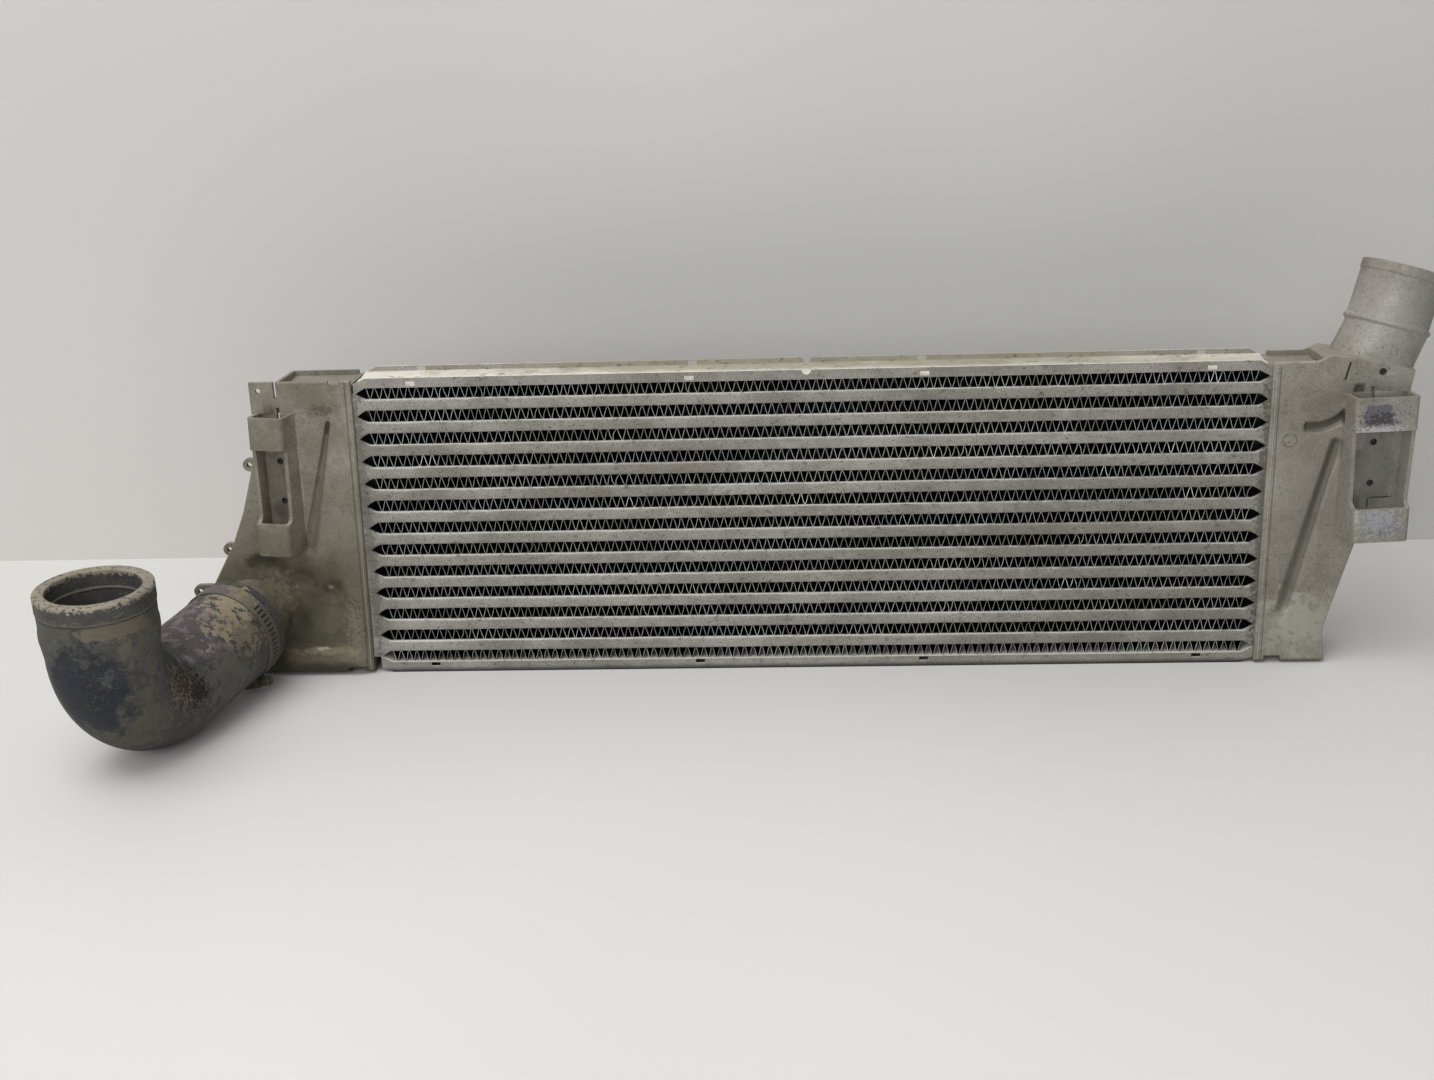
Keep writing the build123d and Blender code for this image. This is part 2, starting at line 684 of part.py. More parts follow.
def make_clamp_screw():
    """Worm screw with a slotted hexagon head beside the housing."""
    length, _, height = worm_box_size
    shank = Cylinder(worm_radius, length + worm_overhang)
    head_base = (length + worm_overhang) / 2
    head = Pos(0, 0, head_base) * extrude(RegularPolygon(worm_head_radius, 6), amount=worm_head_length)
    slot_width, slot_depth = worm_slot
    head -= Pos(0, 0, head_base + worm_head_length) * Box(3 * worm_head_radius, slot_width, 2 * slot_depth)
    screw = Pos(0, 0, worm_overhang / 2 - worm_tail) * (shank + head)
    return worm_place() * Pos(height / 2, 0, 0) * Rot(-90, 0, 0) * screw


# ---------------------------------------------------------------- assembly
def all_parts():
    """Every sub-part by node name, in its place."""
    parts = {
        "left_tank": make_left_tank(),
        "right_tank": make_right_tank(),
        "side_plate_lower": make_lower_plate(),
        "side_plate_upper": make_upper_plate(),
        "elbow_hose": make_elbow_hose(),
        "clamp_band": make_clamp_band(),
        "clamp_worm_housing": make_worm_housing(),
        "clamp_screw": make_clamp_screw(),
    }
    tube = make_tube()
    turbulator = make_turbulator()
    air_fin = make_air_fin()
    for index in range(tube_count):
        middle = stack_bottom + fin_gap + index * tube_pitch + tube_height / 2
        parts[f"tube_{index + 1:02d}"] = Pos(0, 0, middle) * tube
        parts[f"turbulator_{index + 1:02d}"] = Pos(0, 0, middle) * turbulator
    for index in range(tube_count + 1):
        foot = stack_bottom + index * tube_pitch
        parts[f"air_fin_{index + 1:02d}"] = Pos(0, 0, foot) * air_fin
    return parts


for node, part in all_parts().items():
    export_step(part, f"parts/{node}.step")
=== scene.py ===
"""Studio scene of a used charge air cooler (intercooler) with its elbow hose.

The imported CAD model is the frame.  The tanks and side plates keep their CAD
shape and get rounded edges; the tubes, air fins and hose are rebuilt as fine
surfaces.  Sizes are in millimetres and are turned to metres by MM.
"""

import logging
import math
from dataclasses import dataclass, field
from enum import Enum

import bmesh
import bpy
import numpy as np
from mathutils import Matrix, Vector


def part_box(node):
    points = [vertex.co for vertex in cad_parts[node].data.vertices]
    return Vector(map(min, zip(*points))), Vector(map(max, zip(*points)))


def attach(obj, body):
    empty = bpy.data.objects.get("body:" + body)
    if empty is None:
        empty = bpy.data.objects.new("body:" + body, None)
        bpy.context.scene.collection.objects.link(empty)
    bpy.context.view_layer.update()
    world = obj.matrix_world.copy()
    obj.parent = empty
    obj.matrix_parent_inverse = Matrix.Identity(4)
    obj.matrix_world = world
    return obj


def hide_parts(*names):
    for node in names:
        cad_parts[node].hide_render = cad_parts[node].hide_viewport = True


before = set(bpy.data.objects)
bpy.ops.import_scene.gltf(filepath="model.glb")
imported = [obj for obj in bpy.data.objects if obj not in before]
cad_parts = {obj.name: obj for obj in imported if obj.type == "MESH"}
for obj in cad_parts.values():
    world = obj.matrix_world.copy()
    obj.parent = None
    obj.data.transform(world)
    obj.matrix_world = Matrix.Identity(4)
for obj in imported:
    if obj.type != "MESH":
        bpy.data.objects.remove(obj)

MM = 0.001
TANK_FRONT = -2.5  # Y of the front walls of the tanks in millimetres
CORE_DEPTH = 40.0  # distance between the faces of the core, whose front one is at Y = 0
LOG = logging.getLogger("intercooler")

Colour = tuple[float, float, float]
Socket = bpy.types.NodeSocket
Value = Socket | float | tuple[float, ...]


def srgb(red: int, green: int, blue: int) -> Colour:
    """Linear colour of an 8-bit display colour.

    Args:
        red: Red from 0 to 255.
        green: Green from 0 to 255.
        blue: Blue from 0 to 255.

    Returns:
        The three linear components.
    """
    values = np.array([red, green, blue]) / 255.0
    linear = np.where(values <= 0.04045, values / 12.92, ((values + 0.055) / 1.055) ** 2.4)
    return tuple(float(v) for v in linear)


class Slot(Enum):
    """Material slots of the record."""

    TANK = "tank_casting"
    TUBE = "tube_aluminium"
    FIN = "fin_aluminium"
    PLATE = "plate_aluminium"
    HOSE = "hose_rubber"
    CLAMP = "clamp_steel"


# ------------------------------------------------------------------ mesh helpers
def mesh_object(name: str, points: np.ndarray, faces: np.ndarray | list) -> bpy.types.Object:
    """Object at the origin made of these points and faces, all shaded smooth.

    Args:
        name: Name of the object and its mesh.
        points: Corner places in metres, one row each.
        faces: Corner numbers, one row for each face.

    Returns:
        The new object, linked to the scene.
    """
    mesh = bpy.data.meshes.new(name)
    mesh.from_pydata(points.reshape(-1, 3).tolist(), [], [list(map(int, face)) for face in faces])
    mesh.validate()
    mesh.shade_smooth()
    obj = bpy.data.objects.new(name, mesh)
    bpy.context.scene.collection.objects.link(obj)
    return obj


def grid_faces(rows: int, columns: int, close_rows: bool = False, close_columns: bool = False) -> np.ndarray:
    """Four-cornered faces of a grid of points stored row by row.

    Args:
        rows: Number of rows of points.
        columns: Number of points in a row.
        close_rows: Whether the last row joins the first.
        close_columns: Whether each row's last point joins its first.

    Returns:
        One row of four corner numbers for each face.
    """
    row = np.arange(rows if close_rows else rows - 1)[:, None]
    column = np.arange(columns if close_columns else columns - 1)[None, :]
    next_row, next_column = (row + 1) % rows, (column + 1) % columns
    corners = (row * columns + column, next_row * columns + column,
               next_row * columns + next_column, row * columns + next_column)
    return np.stack(np.broadcast_arrays(*corners), axis=-1).reshape(-1, 4)


def outward(obj: bpy.types.Object) -> None:
    """Turns the faces of a closed mesh outwards.

    Args:
        obj: The piece.
    """
    work = bmesh.new()
    work.from_mesh(obj.data)
    bmesh.ops.recalc_face_normals(work, faces=work.faces)
    work.to_mesh(obj.data)
    work.free()


def closed_skin(node: str, points: np.ndarray, faces: np.ndarray | list, smooth: float) -> bpy.types.Object:
    """Closed piece in place of a CAD node.

    Args:
        node: Name of the CAD node.
        points: Corner places in millimetres.
        faces: Corner numbers, one row for each face.
        smooth: Largest angle that is shaded smooth, in degrees.

    Returns:
        The piece, with its faces turned outwards.
    """
    obj = mesh_object(f"{node}_skin", points * MM, faces)
    outward(obj)
    obj.data.set_sharp_from_angle(angle=math.radians(smooth))
    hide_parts(node)
    return obj


def dress(obj: bpy.types.Object, material: bpy.types.Material) -> bpy.types.Object:
    """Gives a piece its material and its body.

    Args:
        obj: The piece.
        material: Its material.

    Returns:
        The same piece.
    """
    obj.data.materials.append(material)
    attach(obj, "root")
    return obj


def soften(obj: bpy.types.Object, width: float, segments: int = 2, angle: float = 32.0) -> None:
    """Rounds the sharp edges of a piece with a bevel.

    Args:
        obj: The piece.
        width: Width of the bevel in millimetres.
        segments: Number of faces across it.
        angle: Smallest angle between faces that counts as an edge, in degrees.
    """
    bevel = obj.modifiers.new("edge_round", "BEVEL")
    bevel.width = width * MM
    bevel.segments = segments
    bevel.limit_method = "ANGLE"
    bevel.angle_limit = math.radians(angle)
    bevel.use_clamp_overlap = True
    bevel.harden_normals = False


@dataclass(frozen=True)
class Swell:
    """Soft raised or sunken form of a cast front wall, along a line in X and Z.

    Attributes:
        start: One end of the line in millimetres.
        end: The other end.
        reach: Distance from the line at which the form has died away, at each end.
        height: How far it stands forward in millimetres, or below 0 how deep it is.
    """

    start: tuple[float, float]
    end: tuple[float, float]
    reach: tuple[float, float]
    height: float

    def forward(self, x: np.ndarray, z: np.ndarray) -> np.ndarray:
        """Height of the form: a smooth step of the distance from the line, 1 on it and 0 at the reach.

        Args:
            x: X of each point in millimetres.
            z: Z of each point.

        Returns:
            How far each point moves forward, in millimetres.
        """
        line = np.subtract(self.end, self.start)
        away_x, away_z = x - self.start[0], z - self.start[1]
        along = np.clip((away_x * line[0] + away_z * line[1]) / max(float(line @ line), 1e-6), 0, 1)
        distance = np.hypot(away_x - along * line[0], away_z - along * line[1])
        share = np.clip(1 - distance / (self.reach[0] + (self.reach[1] - self.reach[0]) * along), 0, 1)
        return self.height * share**2 * (3 - 2 * share)


def mould_front(work: bmesh.types.BMesh, swells: tuple[Swell, ...], front: float, step: float = 3.0) -> None:
    """Cuts the flat front wall of a casting into a lattice and moves it forward by its swells.

    Args:
        work: The mesh.
        swells: The soft forms, which add up.
        front: Y of the flat front wall in millimetres.
        step: Spacing of the lattice in millimetres.
    """
    ends = np.array([np.add(end, sign * max(swell.reach)) for swell in swells
                     for end in (swell.start, swell.end) for sign in (-1, 1)])
    low, high = ends.min(axis=0), ends.max(axis=0)

    def on_front(vert: bmesh.types.BMVert) -> bool:
        """Whether a corner lies on the flat front wall."""
        return abs(vert.co.y - front * MM) < 0.02 * MM

    for axis, normal in ((0, (1.0, 0.0, 0.0)), (1, (0.0, 0.0, 1.0))):
        for cut in np.arange(low[axis], high[axis], step):
            faces = [face for face in work.faces if all(on_front(vert) for vert in face.verts)]
            edges = {edge for face in faces for edge in face.edges}
            flat = set(faces) | edges | {vert for face in faces for vert in face.verts}
            place = [value * cut * MM for value in normal]
            bmesh.ops.bisect_plane(work, geom=list(flat), dist=0.01 * MM, plane_co=place, plane_no=normal)
    verts = [vert for vert in work.verts if on_front(vert)]
    places = np.array([vert.co for vert in verts]) / MM
    moved = sum(swell.forward(places[:, 0], places[:, 2]) for swell in swells)
    for vert, distance in zip(verts, moved):
        vert.co.y -= distance * MM


def skin_of(
    node: str, width: float, smooth: float = 34.0, swells: tuple[Swell, ...] = ()
) -> bpy.types.Object:
    """Copy of a CAD node with its triangles joined, its flat faces merged and its edges rounded.

    Args:
        node: Name of the CAD node.
        width: Width of the rounding in millimetres.
        smooth: Largest angle that is shaded smooth, in degrees.
        swells: Soft forms of its front wall.

    Returns:
        The piece, which replaces the node.
    """
    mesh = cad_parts[node].data.copy()
    obj = bpy.data.objects.new(f"{node}_skin", mesh)
    bpy.context.scene.collection.objects.link(obj)
    work = bmesh.new()
    work.from_mesh(mesh)
    bmesh.ops.remove_doubles(work, verts=work.verts, dist=0.004 * MM)
    bmesh.ops.dissolve_limit(work, angle_limit=math.radians(0.5), verts=work.verts, edges=work.edges)
    bmesh.ops.dissolve_degenerate(work, dist=0.004 * MM, edges=work.edges)
    if swells:
        mould_front(work, swells, TANK_FRONT)
    work.to_mesh(mesh)
    work.free()
    mesh.materials.clear()
    mesh.shade_smooth()
    mesh.set_sharp_from_angle(angle=math.radians(smooth))
    if width > 0:
        soften(obj, width)
    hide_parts(node)
    return obj


def smooth_noise(count: int, knots: int, seed: int) -> np.ndarray:
    """Smooth random curve between -1 and 1: random knots joined by cosine steps.

    Args:
        count: Number of samples.
        knots: Number of random knots under them.
        seed: Seed of the knots.

    Returns:
        The samples.
    """
    values = np.random.default_rng(seed).uniform(-1, 1, knots + 2)
    place = np.linspace(0, knots, count)
    low = np.floor(place).astype(int)
    share = (1 - np.cos((place - low) * np.pi)) / 2
    return values[low] * (1 - share) + values[low + 1] * share


# ------------------------------------------------------------------ shader helpers
class Nodes:
    """Short way to write a node tree: every call adds a node and links its inputs."""

    def __init__(self, tree: bpy.types.NodeTree) -> None:
        """Starts on an empty tree."""
        self.tree = tree
        tree.nodes.clear()

    def give(self, socket: Socket, value: Value) -> None:
        """Links an input to an output socket, or sets it to a constant.

        Args:
            socket: The input.
            value: The output socket or the constant. A colour has three parts and gets an alpha of 1.
        """
        if isinstance(value, Socket):
            self.tree.links.new(value, socket)
        elif isinstance(value, tuple) and len(value) == 3 and socket.type == "RGBA":
            socket.default_value = (*value, 1.0)
        else:
            socket.default_value = value

    def add(
        self, kind: str, inputs: dict[str | int, Value] | None = None, **settings: object
    ) -> bpy.types.Node:
        """Adds one node.

        Args:
            kind: Type name of the node.
            inputs: Value or output socket for each input, by name or number.
            **settings: Attributes to set on the node.

        Returns:
            The new node.
        """
        node = self.tree.nodes.new(kind)
        for key, value in settings.items():
            setattr(node, key, value)
        for key, value in (inputs or {}).items():
            self.give(node.inputs[key], value)
        return node

    def math(self, operation: str, first: Value, second: Value = 0.0, clamp: bool = False) -> Socket:
        """Output of a Math node with two inputs."""
        inputs = {0: first, 1: second}
        return self.add("ShaderNodeMath", inputs, operation=operation, use_clamp=clamp).outputs[0]

    def plus(self, first: Value, second: Value) -> Socket:
        """Sum of two values."""
        return self.math("ADD", first, second)

    def minus(self, first: Value, second: Value) -> Socket:
        """First value less the second."""
        return self.math("SUBTRACT", first, second)

    def times(self, first: Value, second: Value) -> Socket:
        """Product of two values."""
        return self.math("MULTIPLY", first, second)

    def vector(self, operation: str, first: Value, second: Value = (0.0, 0.0, 0.0)) -> Socket:
        """Output of a Vector Math node with two inputs."""
        node = self.add("ShaderNodeVectorMath", {0: first, 1: second}, operation=operation)
        return node.outputs["Value" if operation in ("LENGTH", "DOT_PRODUCT") else 0]

    def parts(self, place: Socket) -> bpy.types.bpy_prop_collection:
        """The X, Y and Z outputs of a vector."""
        return self.add("ShaderNodeSeparateXYZ", {0: place}).outputs

    def mix(self, share: Value, first: Value, second: Value, blend: str = "MIX") -> Socket:
        """Colour between two others."""
        inputs = {0: share, 6: first, 7: second}
        return self.add("ShaderNodeMix", inputs, data_type="RGBA", blend_type=blend).outputs[2]

    def lay(self, colour: Value, over: Value, mask: Socket, strength: float) -> Socket:
        """Colour with another laid over it, by a mask times a strength."""
        return self.mix(self.times(mask, strength), colour, over)

    def noise(self, place: Socket, scale: Value, detail: float = 3.0, roughness: float = 0.55) -> Socket:
        """Value of a noise pattern, mostly between 0.3 and 0.7."""
        inputs = {"Vector": place, "Scale": scale, "Detail": detail, "Roughness": roughness}
        return self.add("ShaderNodeTexNoise", inputs).outputs["Fac"]

    def ramp(self, value: Value, low: Value, high: Value) -> Socket:
        """Smooth step of a value, from 0 at low to 1 at high."""
        inputs = {0: value, 1: low, 2: high, 3: 0.0, 4: 1.0}
        return self.add("ShaderNodeMapRange", inputs, interpolation_type="SMOOTHSTEP").outputs[0]

    def group(self, tree: bpy.types.NodeTree, inputs: dict[str, Value]) -> Socket:
        """Places a shared group and returns its one output."""
        return self.add("ShaderNodeGroup", inputs, node_tree=tree).outputs[0]

    def surface(self, height: Socket, distance: float, inputs: dict[str, Value]) -> None:
        """Sends a Principled surface with a bump to the output.

        Args:
            height: Height of the bump.
            distance: Metres for a height of one.
            inputs: Inputs of the shader, by name.
        """
        bump = self.add("ShaderNodeBump", {"Height": height, "Distance": distance, "Strength": 1.0})
        shader = self.add("ShaderNodeBsdfPrincipled", {**inputs, "Normal": bump.outputs[0]})
        self.add("ShaderNodeOutputMaterial", {"Surface": shader.outputs[0]})


def new_material(name: str) -> tuple[bpy.types.Material, Nodes, Socket]:
    """Empty node material.

    Args:
        name: Name of the material.

    Returns:
        The material, its node writer and its object coordinates.
    """
    material = bpy.data.materials.new(name)
    material.use_nodes = True
    nodes = Nodes(material.node_tree)
    return material, nodes, nodes.add("ShaderNodeTexCoord").outputs["Object"]


class Group(Nodes):
    """Shared shader group in the making, with a place, other inputs and one output."""

    def __init__(self, name: str, output: str, **inputs: float | tuple[float, ...]) -> None:
        """Makes the sockets of the group.

        Args:
            name: Name of the group.
            output: Name of its output, which is a value.
            **inputs: Default of each input after Place: a number, or three for a vector.
        """
        super().__init__(bpy.data.node_groups.new(name, "ShaderNodeTree"))
        for label, value in {"Place": (0, 0, 0), **inputs}.items():
            kind = "Vector" if isinstance(value, tuple) else "Float"
            socket = self.tree.interface.new_socket(label, in_out="INPUT", socket_type=f"NodeSocket{kind}")
            socket.default_value = value
        self.tree.interface.new_socket(output, in_out="OUTPUT", socket_type="NodeSocketFloat")
        self.given = list(self.add("NodeGroupInput").outputs)[: len(inputs) + 1]

    def finish(self, value: Socket) -> bpy.types.NodeTree:
        """Sends a value to the output and returns the group's tree."""
        self.add("NodeGroupOutput", {0: value})
        return self.tree


class Effects:
    """Shader groups that several finishes share."""

    def __init__(self) -> None:
        """Builds each group once."""
        self.grime = self._grime()
        self.patch = self._patch()
        self.grain = self._grain()
        self.specks = self._specks()
        self.trough = self._trough()
        self.arc = self._arc()
        self.pits = self._pits()

    def _grime(self) -> bpy.types.NodeTree:
        """Cloudy mask: a weighted sum of two sizes of noise, cut to a share of the surface.

        Returns:
            The group.
        """
        nodes = Group("Grime", "Mask", Scale=30.0, Share=0.5, Edge=0.12)
        place, scale, share, edge = nodes.given
        broad = nodes.noise(place, scale, 4.0, 0.6)
        fine = nodes.noise(place, nodes.times(scale, 6.0), 8.0, 0.7)
        both = nodes.plus(nodes.times(broad, 0.68), nodes.times(fine, 0.32))
        middle = nodes.minus(0.66, nodes.times(share, 0.32))
        return nodes.finish(nodes.ramp(both, nodes.minus(middle, edge), nodes.plus(middle, edge)))

    def _patch(self) -> bpy.types.NodeTree:
        """Ragged mask: distance from a centre in units of the mark's size, broken by noise.

        The three shares are raised to a power before they are added: 2 gives an oval, 8 nearly a box.

        Returns:
            The group.
        """
        nodes = Group("Patch", "Mask", Centre=(0, 0, 0), Size=(1, 1, 1),
                      Ragged=0.5, Scale=60.0, Soft=0.3, Corner=2.0)
        place, centre, size, ragged, scale, soft, corner = nodes.given
        away = nodes.vector("DIVIDE", nodes.vector("SUBTRACT", place, centre), size)
        raised = [nodes.math("POWER", share, corner) for share in nodes.parts(nodes.vector("ABSOLUTE", away))]
        total = nodes.plus(nodes.plus(raised[0], raised[1]), raised[2])
        distance = nodes.math("POWER", total, nodes.math("DIVIDE", 1.0, corner))
        rough = nodes.times(nodes.minus(nodes.noise(place, scale, 6.0, 0.65), 0.5), 3.0)
        edge = nodes.plus(distance, nodes.times(rough, ragged))
        return nodes.finish(nodes.ramp(edge, 1.0, nodes.minus(1.0, soft)))

    def _grain(self) -> bpy.types.NodeTree:
        """Height of a sand-cast skin: fine noise on a soft roll, in shares of one.

        Returns:
            The group.
        """
        nodes = Group("CastGrain", "Height", Scale=400.0, Roll=0.4)
        place, scale, roll = nodes.given
        fine = nodes.noise(place, scale, 5.0, 0.6)
        return nodes.finish(nodes.plus(fine, nodes.times(nodes.noise(place, 55.0, 3.0, 0.5), roll)))

    def _specks(self) -> bpy.types.NodeTree:
        """Small round spots: the centres of a cell pattern, thinned out by noise.

        Returns:
            The group.
        """
        nodes = Group("Specks", "Mask", Scale=300.0, Size=0.2, Share=0.5)
        place, scale, size, share = nodes.given
        cells = nodes.add("ShaderNodeTexVoronoi", {"Vector": place, "Scale": scale})
        spot = nodes.ramp(nodes.minus(size, cells.outputs["Distance"]), 0.0, 0.08)
        middle = nodes.minus(0.66, nodes.times(share, 0.3))
        keep = nodes.ramp(nodes.minus(nodes.noise(place, 45.0, 4.0, 0.6), middle), 0.0, 0.06)
        return nodes.finish(nodes.times(spot, keep))

    def _trough(self) -> bpy.types.NodeTree:
        """Round-bottomed trough on the front wall between two points of X and Z.

        The place is dropped on to the line between the ends.  Its distance from that line, in
        shares of the half width there, gives the depth by a smooth step, 1 at the middle.

        Returns:
            The group.
        """
        nodes = Group("Trough", "Depth", Start=(0, 0, 0), End=(0, 0, 1), HalfStart=0.003, HalfEnd=0.003)
        place, start, end, half_start, half_end = nodes.given
        away = nodes.vector("SUBTRACT", nodes.vector("MULTIPLY", place, (1.0, 0.0, 1.0)), start)
        line = nodes.vector("SUBTRACT", end, start)
        reached = nodes.vector("DOT_PRODUCT", away, line)
        along = nodes.math("DIVIDE", reached, nodes.vector("DOT_PRODUCT", line, line), clamp=True)
        foot = nodes.add("ShaderNodeVectorMath", {0: line, "Scale": along}, operation="SCALE").outputs[0]
        distance = nodes.vector("LENGTH", nodes.vector("SUBTRACT", away, foot))
        half = nodes.plus(half_start, nodes.times(nodes.minus(half_end, half_start), along))
        depth = nodes.ramp(nodes.math("DIVIDE", distance, half), 1.0, 0.0)
        front = nodes.ramp(nodes.parts(place)["Y"], 1.5 * MM, 0.5 * MM)
        return nodes.finish(nodes.times(depth, front))

    def _arc(self) -> bpy.types.NodeTree:
        """Round groove on the front wall.

        The distance of a place from the arc, in shares of its half width, gives the depth by a
        smooth step, 1 at the middle.  The arc is kept to the right of one X and below one Z.

        Returns:
            The group.
        """
        nodes = Group("ArcGroove", "Depth", Centre=(0, 0, 0), Radius=0.004, Half=0.0005, Left=-1.0, Top=1.0)
        place, centre, radius, half, left, top = nodes.given
        flat = nodes.vector("MULTIPLY", place, (1.0, 0.0, 1.0))
        distance = nodes.vector("LENGTH", nodes.vector("SUBTRACT", flat, centre))
        off = nodes.math("ABSOLUTE", nodes.minus(distance, radius))
        depth = nodes.ramp(nodes.math("DIVIDE", off, half), 1.0, 0.15)
        axes = nodes.parts(place)
        from_front = nodes.math("ABSOLUTE", nodes.minus(axes["Y"], TANK_FRONT * MM))
        front = nodes.ramp(from_front, 3.0 * MM, 2.2 * MM)
        right = nodes.ramp(nodes.minus(axes["X"], left), -MM, MM)
        below = nodes.ramp(nodes.minus(top, axes["Z"]), -MM, MM)
        return nodes.finish(nodes.times(depth, nodes.times(nodes.times(front, right), below)))

    def _pits(self) -> bpy.types.NodeTree:
        """Fine nicks: the peaks of a very rough noise, kept where a broad noise is high.

        Returns:
            The group.
        """
        nodes = Group("Nicks", "Mask", Scale=260.0, Share=0.5)
        place, scale, share = nodes.given
        rough = nodes.noise(place, scale, 5.0, 0.72)
        middle = nodes.minus(0.7, nodes.times(share, 0.4))
        kept = nodes.ramp(nodes.minus(nodes.noise(place, 26.0, 5.0, 0.6), middle), -0.04, 0.08)
        return nodes.finish(nodes.times(nodes.ramp(rough, 0.56, 0.64), kept))


# Colours laid in the grooves: dirt, and painted shade where the light does not reach into them.
DARK_GROOVE_SHADE_AND_DIRT = srgb(62, 59, 48)
GROOVE_DIRT_AND_SHADE = srgb(88, 83, 66)
INSIDE = srgb(9, 8, 10)  # depth of the core, where no light reaches
CLOUD_TINT = (0.78, 0.77, 0.74)
WORN_TINT = (0.55, 0.56, 0.6)


def metres(*values: float) -> tuple[float, ...]:
    """Millimetres as metres."""
    return tuple(value * MM for value in values)


@dataclass(frozen=True)
class PlacedMark:
    """One placed mark on a finish: dirt, wear, a painted highlight or painted shade.

    Attributes:
        centre: Middle of the mark in millimetres.
        size: Half its width, depth and height in millimetres.
        colour: Its colour.
        strength: How much of it shows, up to 1.
        ragged: How broken its edge is.
        scale: Fineness of the breaks, per metre.
        soft: Share of its size over which it fades out.
        corner: Squareness, 2 for an oval and 8 for nearly a box.
    """

    centre: tuple[float, float, float]
    size: tuple[float, float, float]
    colour: Colour
    strength: float = 0.7
    ragged: float = 0.5
    scale: float = 60.0
    soft: float = 0.3
    corner: float = 2.0

    def paint(self, nodes: Nodes, effects: Effects, place: Socket, colour: Value) -> Socket:
        """Lays the mark over a colour.

        Args:
            nodes: The material's node writer.
            effects: The shared shader groups.
            place: Object coordinates.
            colour: The colour under the mark.

        Returns:
            The colour with the mark on it.
        """
        inputs = {"Place": place, "Centre": metres(*self.centre), "Size": metres(*self.size),
                  "Ragged": self.ragged, "Scale": self.scale, "Soft": self.soft, "Corner": self.corner}
        return nodes.lay(colour, self.colour, nodes.group(effects.patch, inputs), self.strength)


@dataclass(frozen=True)
class Trough:
    """Pressed groove on the front wall of a tank, or a line of painted highlight or shade laid the same way.

    Attributes:
        start: One end as (X, Z) in millimetres.
        end: The other end.
        half: Half the width at each end.
        depth: Depth that the light shows, in millimetres.
        dirt: Strength of the colour laid in it: dirt, painted shade or painted highlight.
        colour: The colour laid in it.
    """

    start: tuple[float, float]
    end: tuple[float, float]
    half: tuple[float, float]
    depth: float = 1.8
    dirt: float = 0.5
    colour: Colour = GROOVE_DIRT_AND_SHADE

    def carve(self, nodes: Nodes, effects: Effects, place: Socket) -> Socket:
        """Depth of the groove at each place, 1 at its middle.

        Args:
            nodes: The material's node writer.
            effects: The shared shader groups.
            place: Object coordinates.

        Returns:
            The depth as a share.
        """
        inputs = {"Place": place, "Start": metres(self.start[0], 0.0, self.start[1]),
                  "End": metres(self.end[0], 0.0, self.end[1]),
                  "HalfStart": self.half[0] * MM, "HalfEnd": self.half[1] * MM}
        return nodes.group(effects.trough, inputs)


@dataclass(frozen=True)
class Arc:
    """Round groove or line on the front wall of a tank.

    Attributes:
        centre: Its centre as (X, Z) in millimetres.
        radius: Radius of its middle line.
        half: Half its width.
        depth: Depth that the light shows, in millimetres.
        dirt: Strength of the dirt and painted shade in it.
        left: Lowest X that it reaches.
        top: Highest Z that it reaches.
        colour: Colour of the dirt and painted shade in it.
    """

    centre: tuple[float, float]
    radius: float
    half: float
    depth: float
    dirt: float
    left: float = -1000.0
    top: float = 1000.0
    colour: Colour = DARK_GROOVE_SHADE_AND_DIRT

    def carve(self, nodes: Nodes, effects: Effects, place: Socket) -> Socket:
        """Depth of the groove at each place, 1 at its middle.

        Args:
            nodes: The material's node writer.
            effects: The shared shader groups.
            place: Object coordinates.

        Returns:
            The depth as a share.
        """
        inputs = {"Place": place, "Centre": metres(self.centre[0], 0.0, self.centre[1]),
                  "Radius": self.radius * MM, "Half": self.half * MM,
                  "Left": self.left * MM, "Top": self.top * MM}
        return nodes.group(effects.arc, inputs)


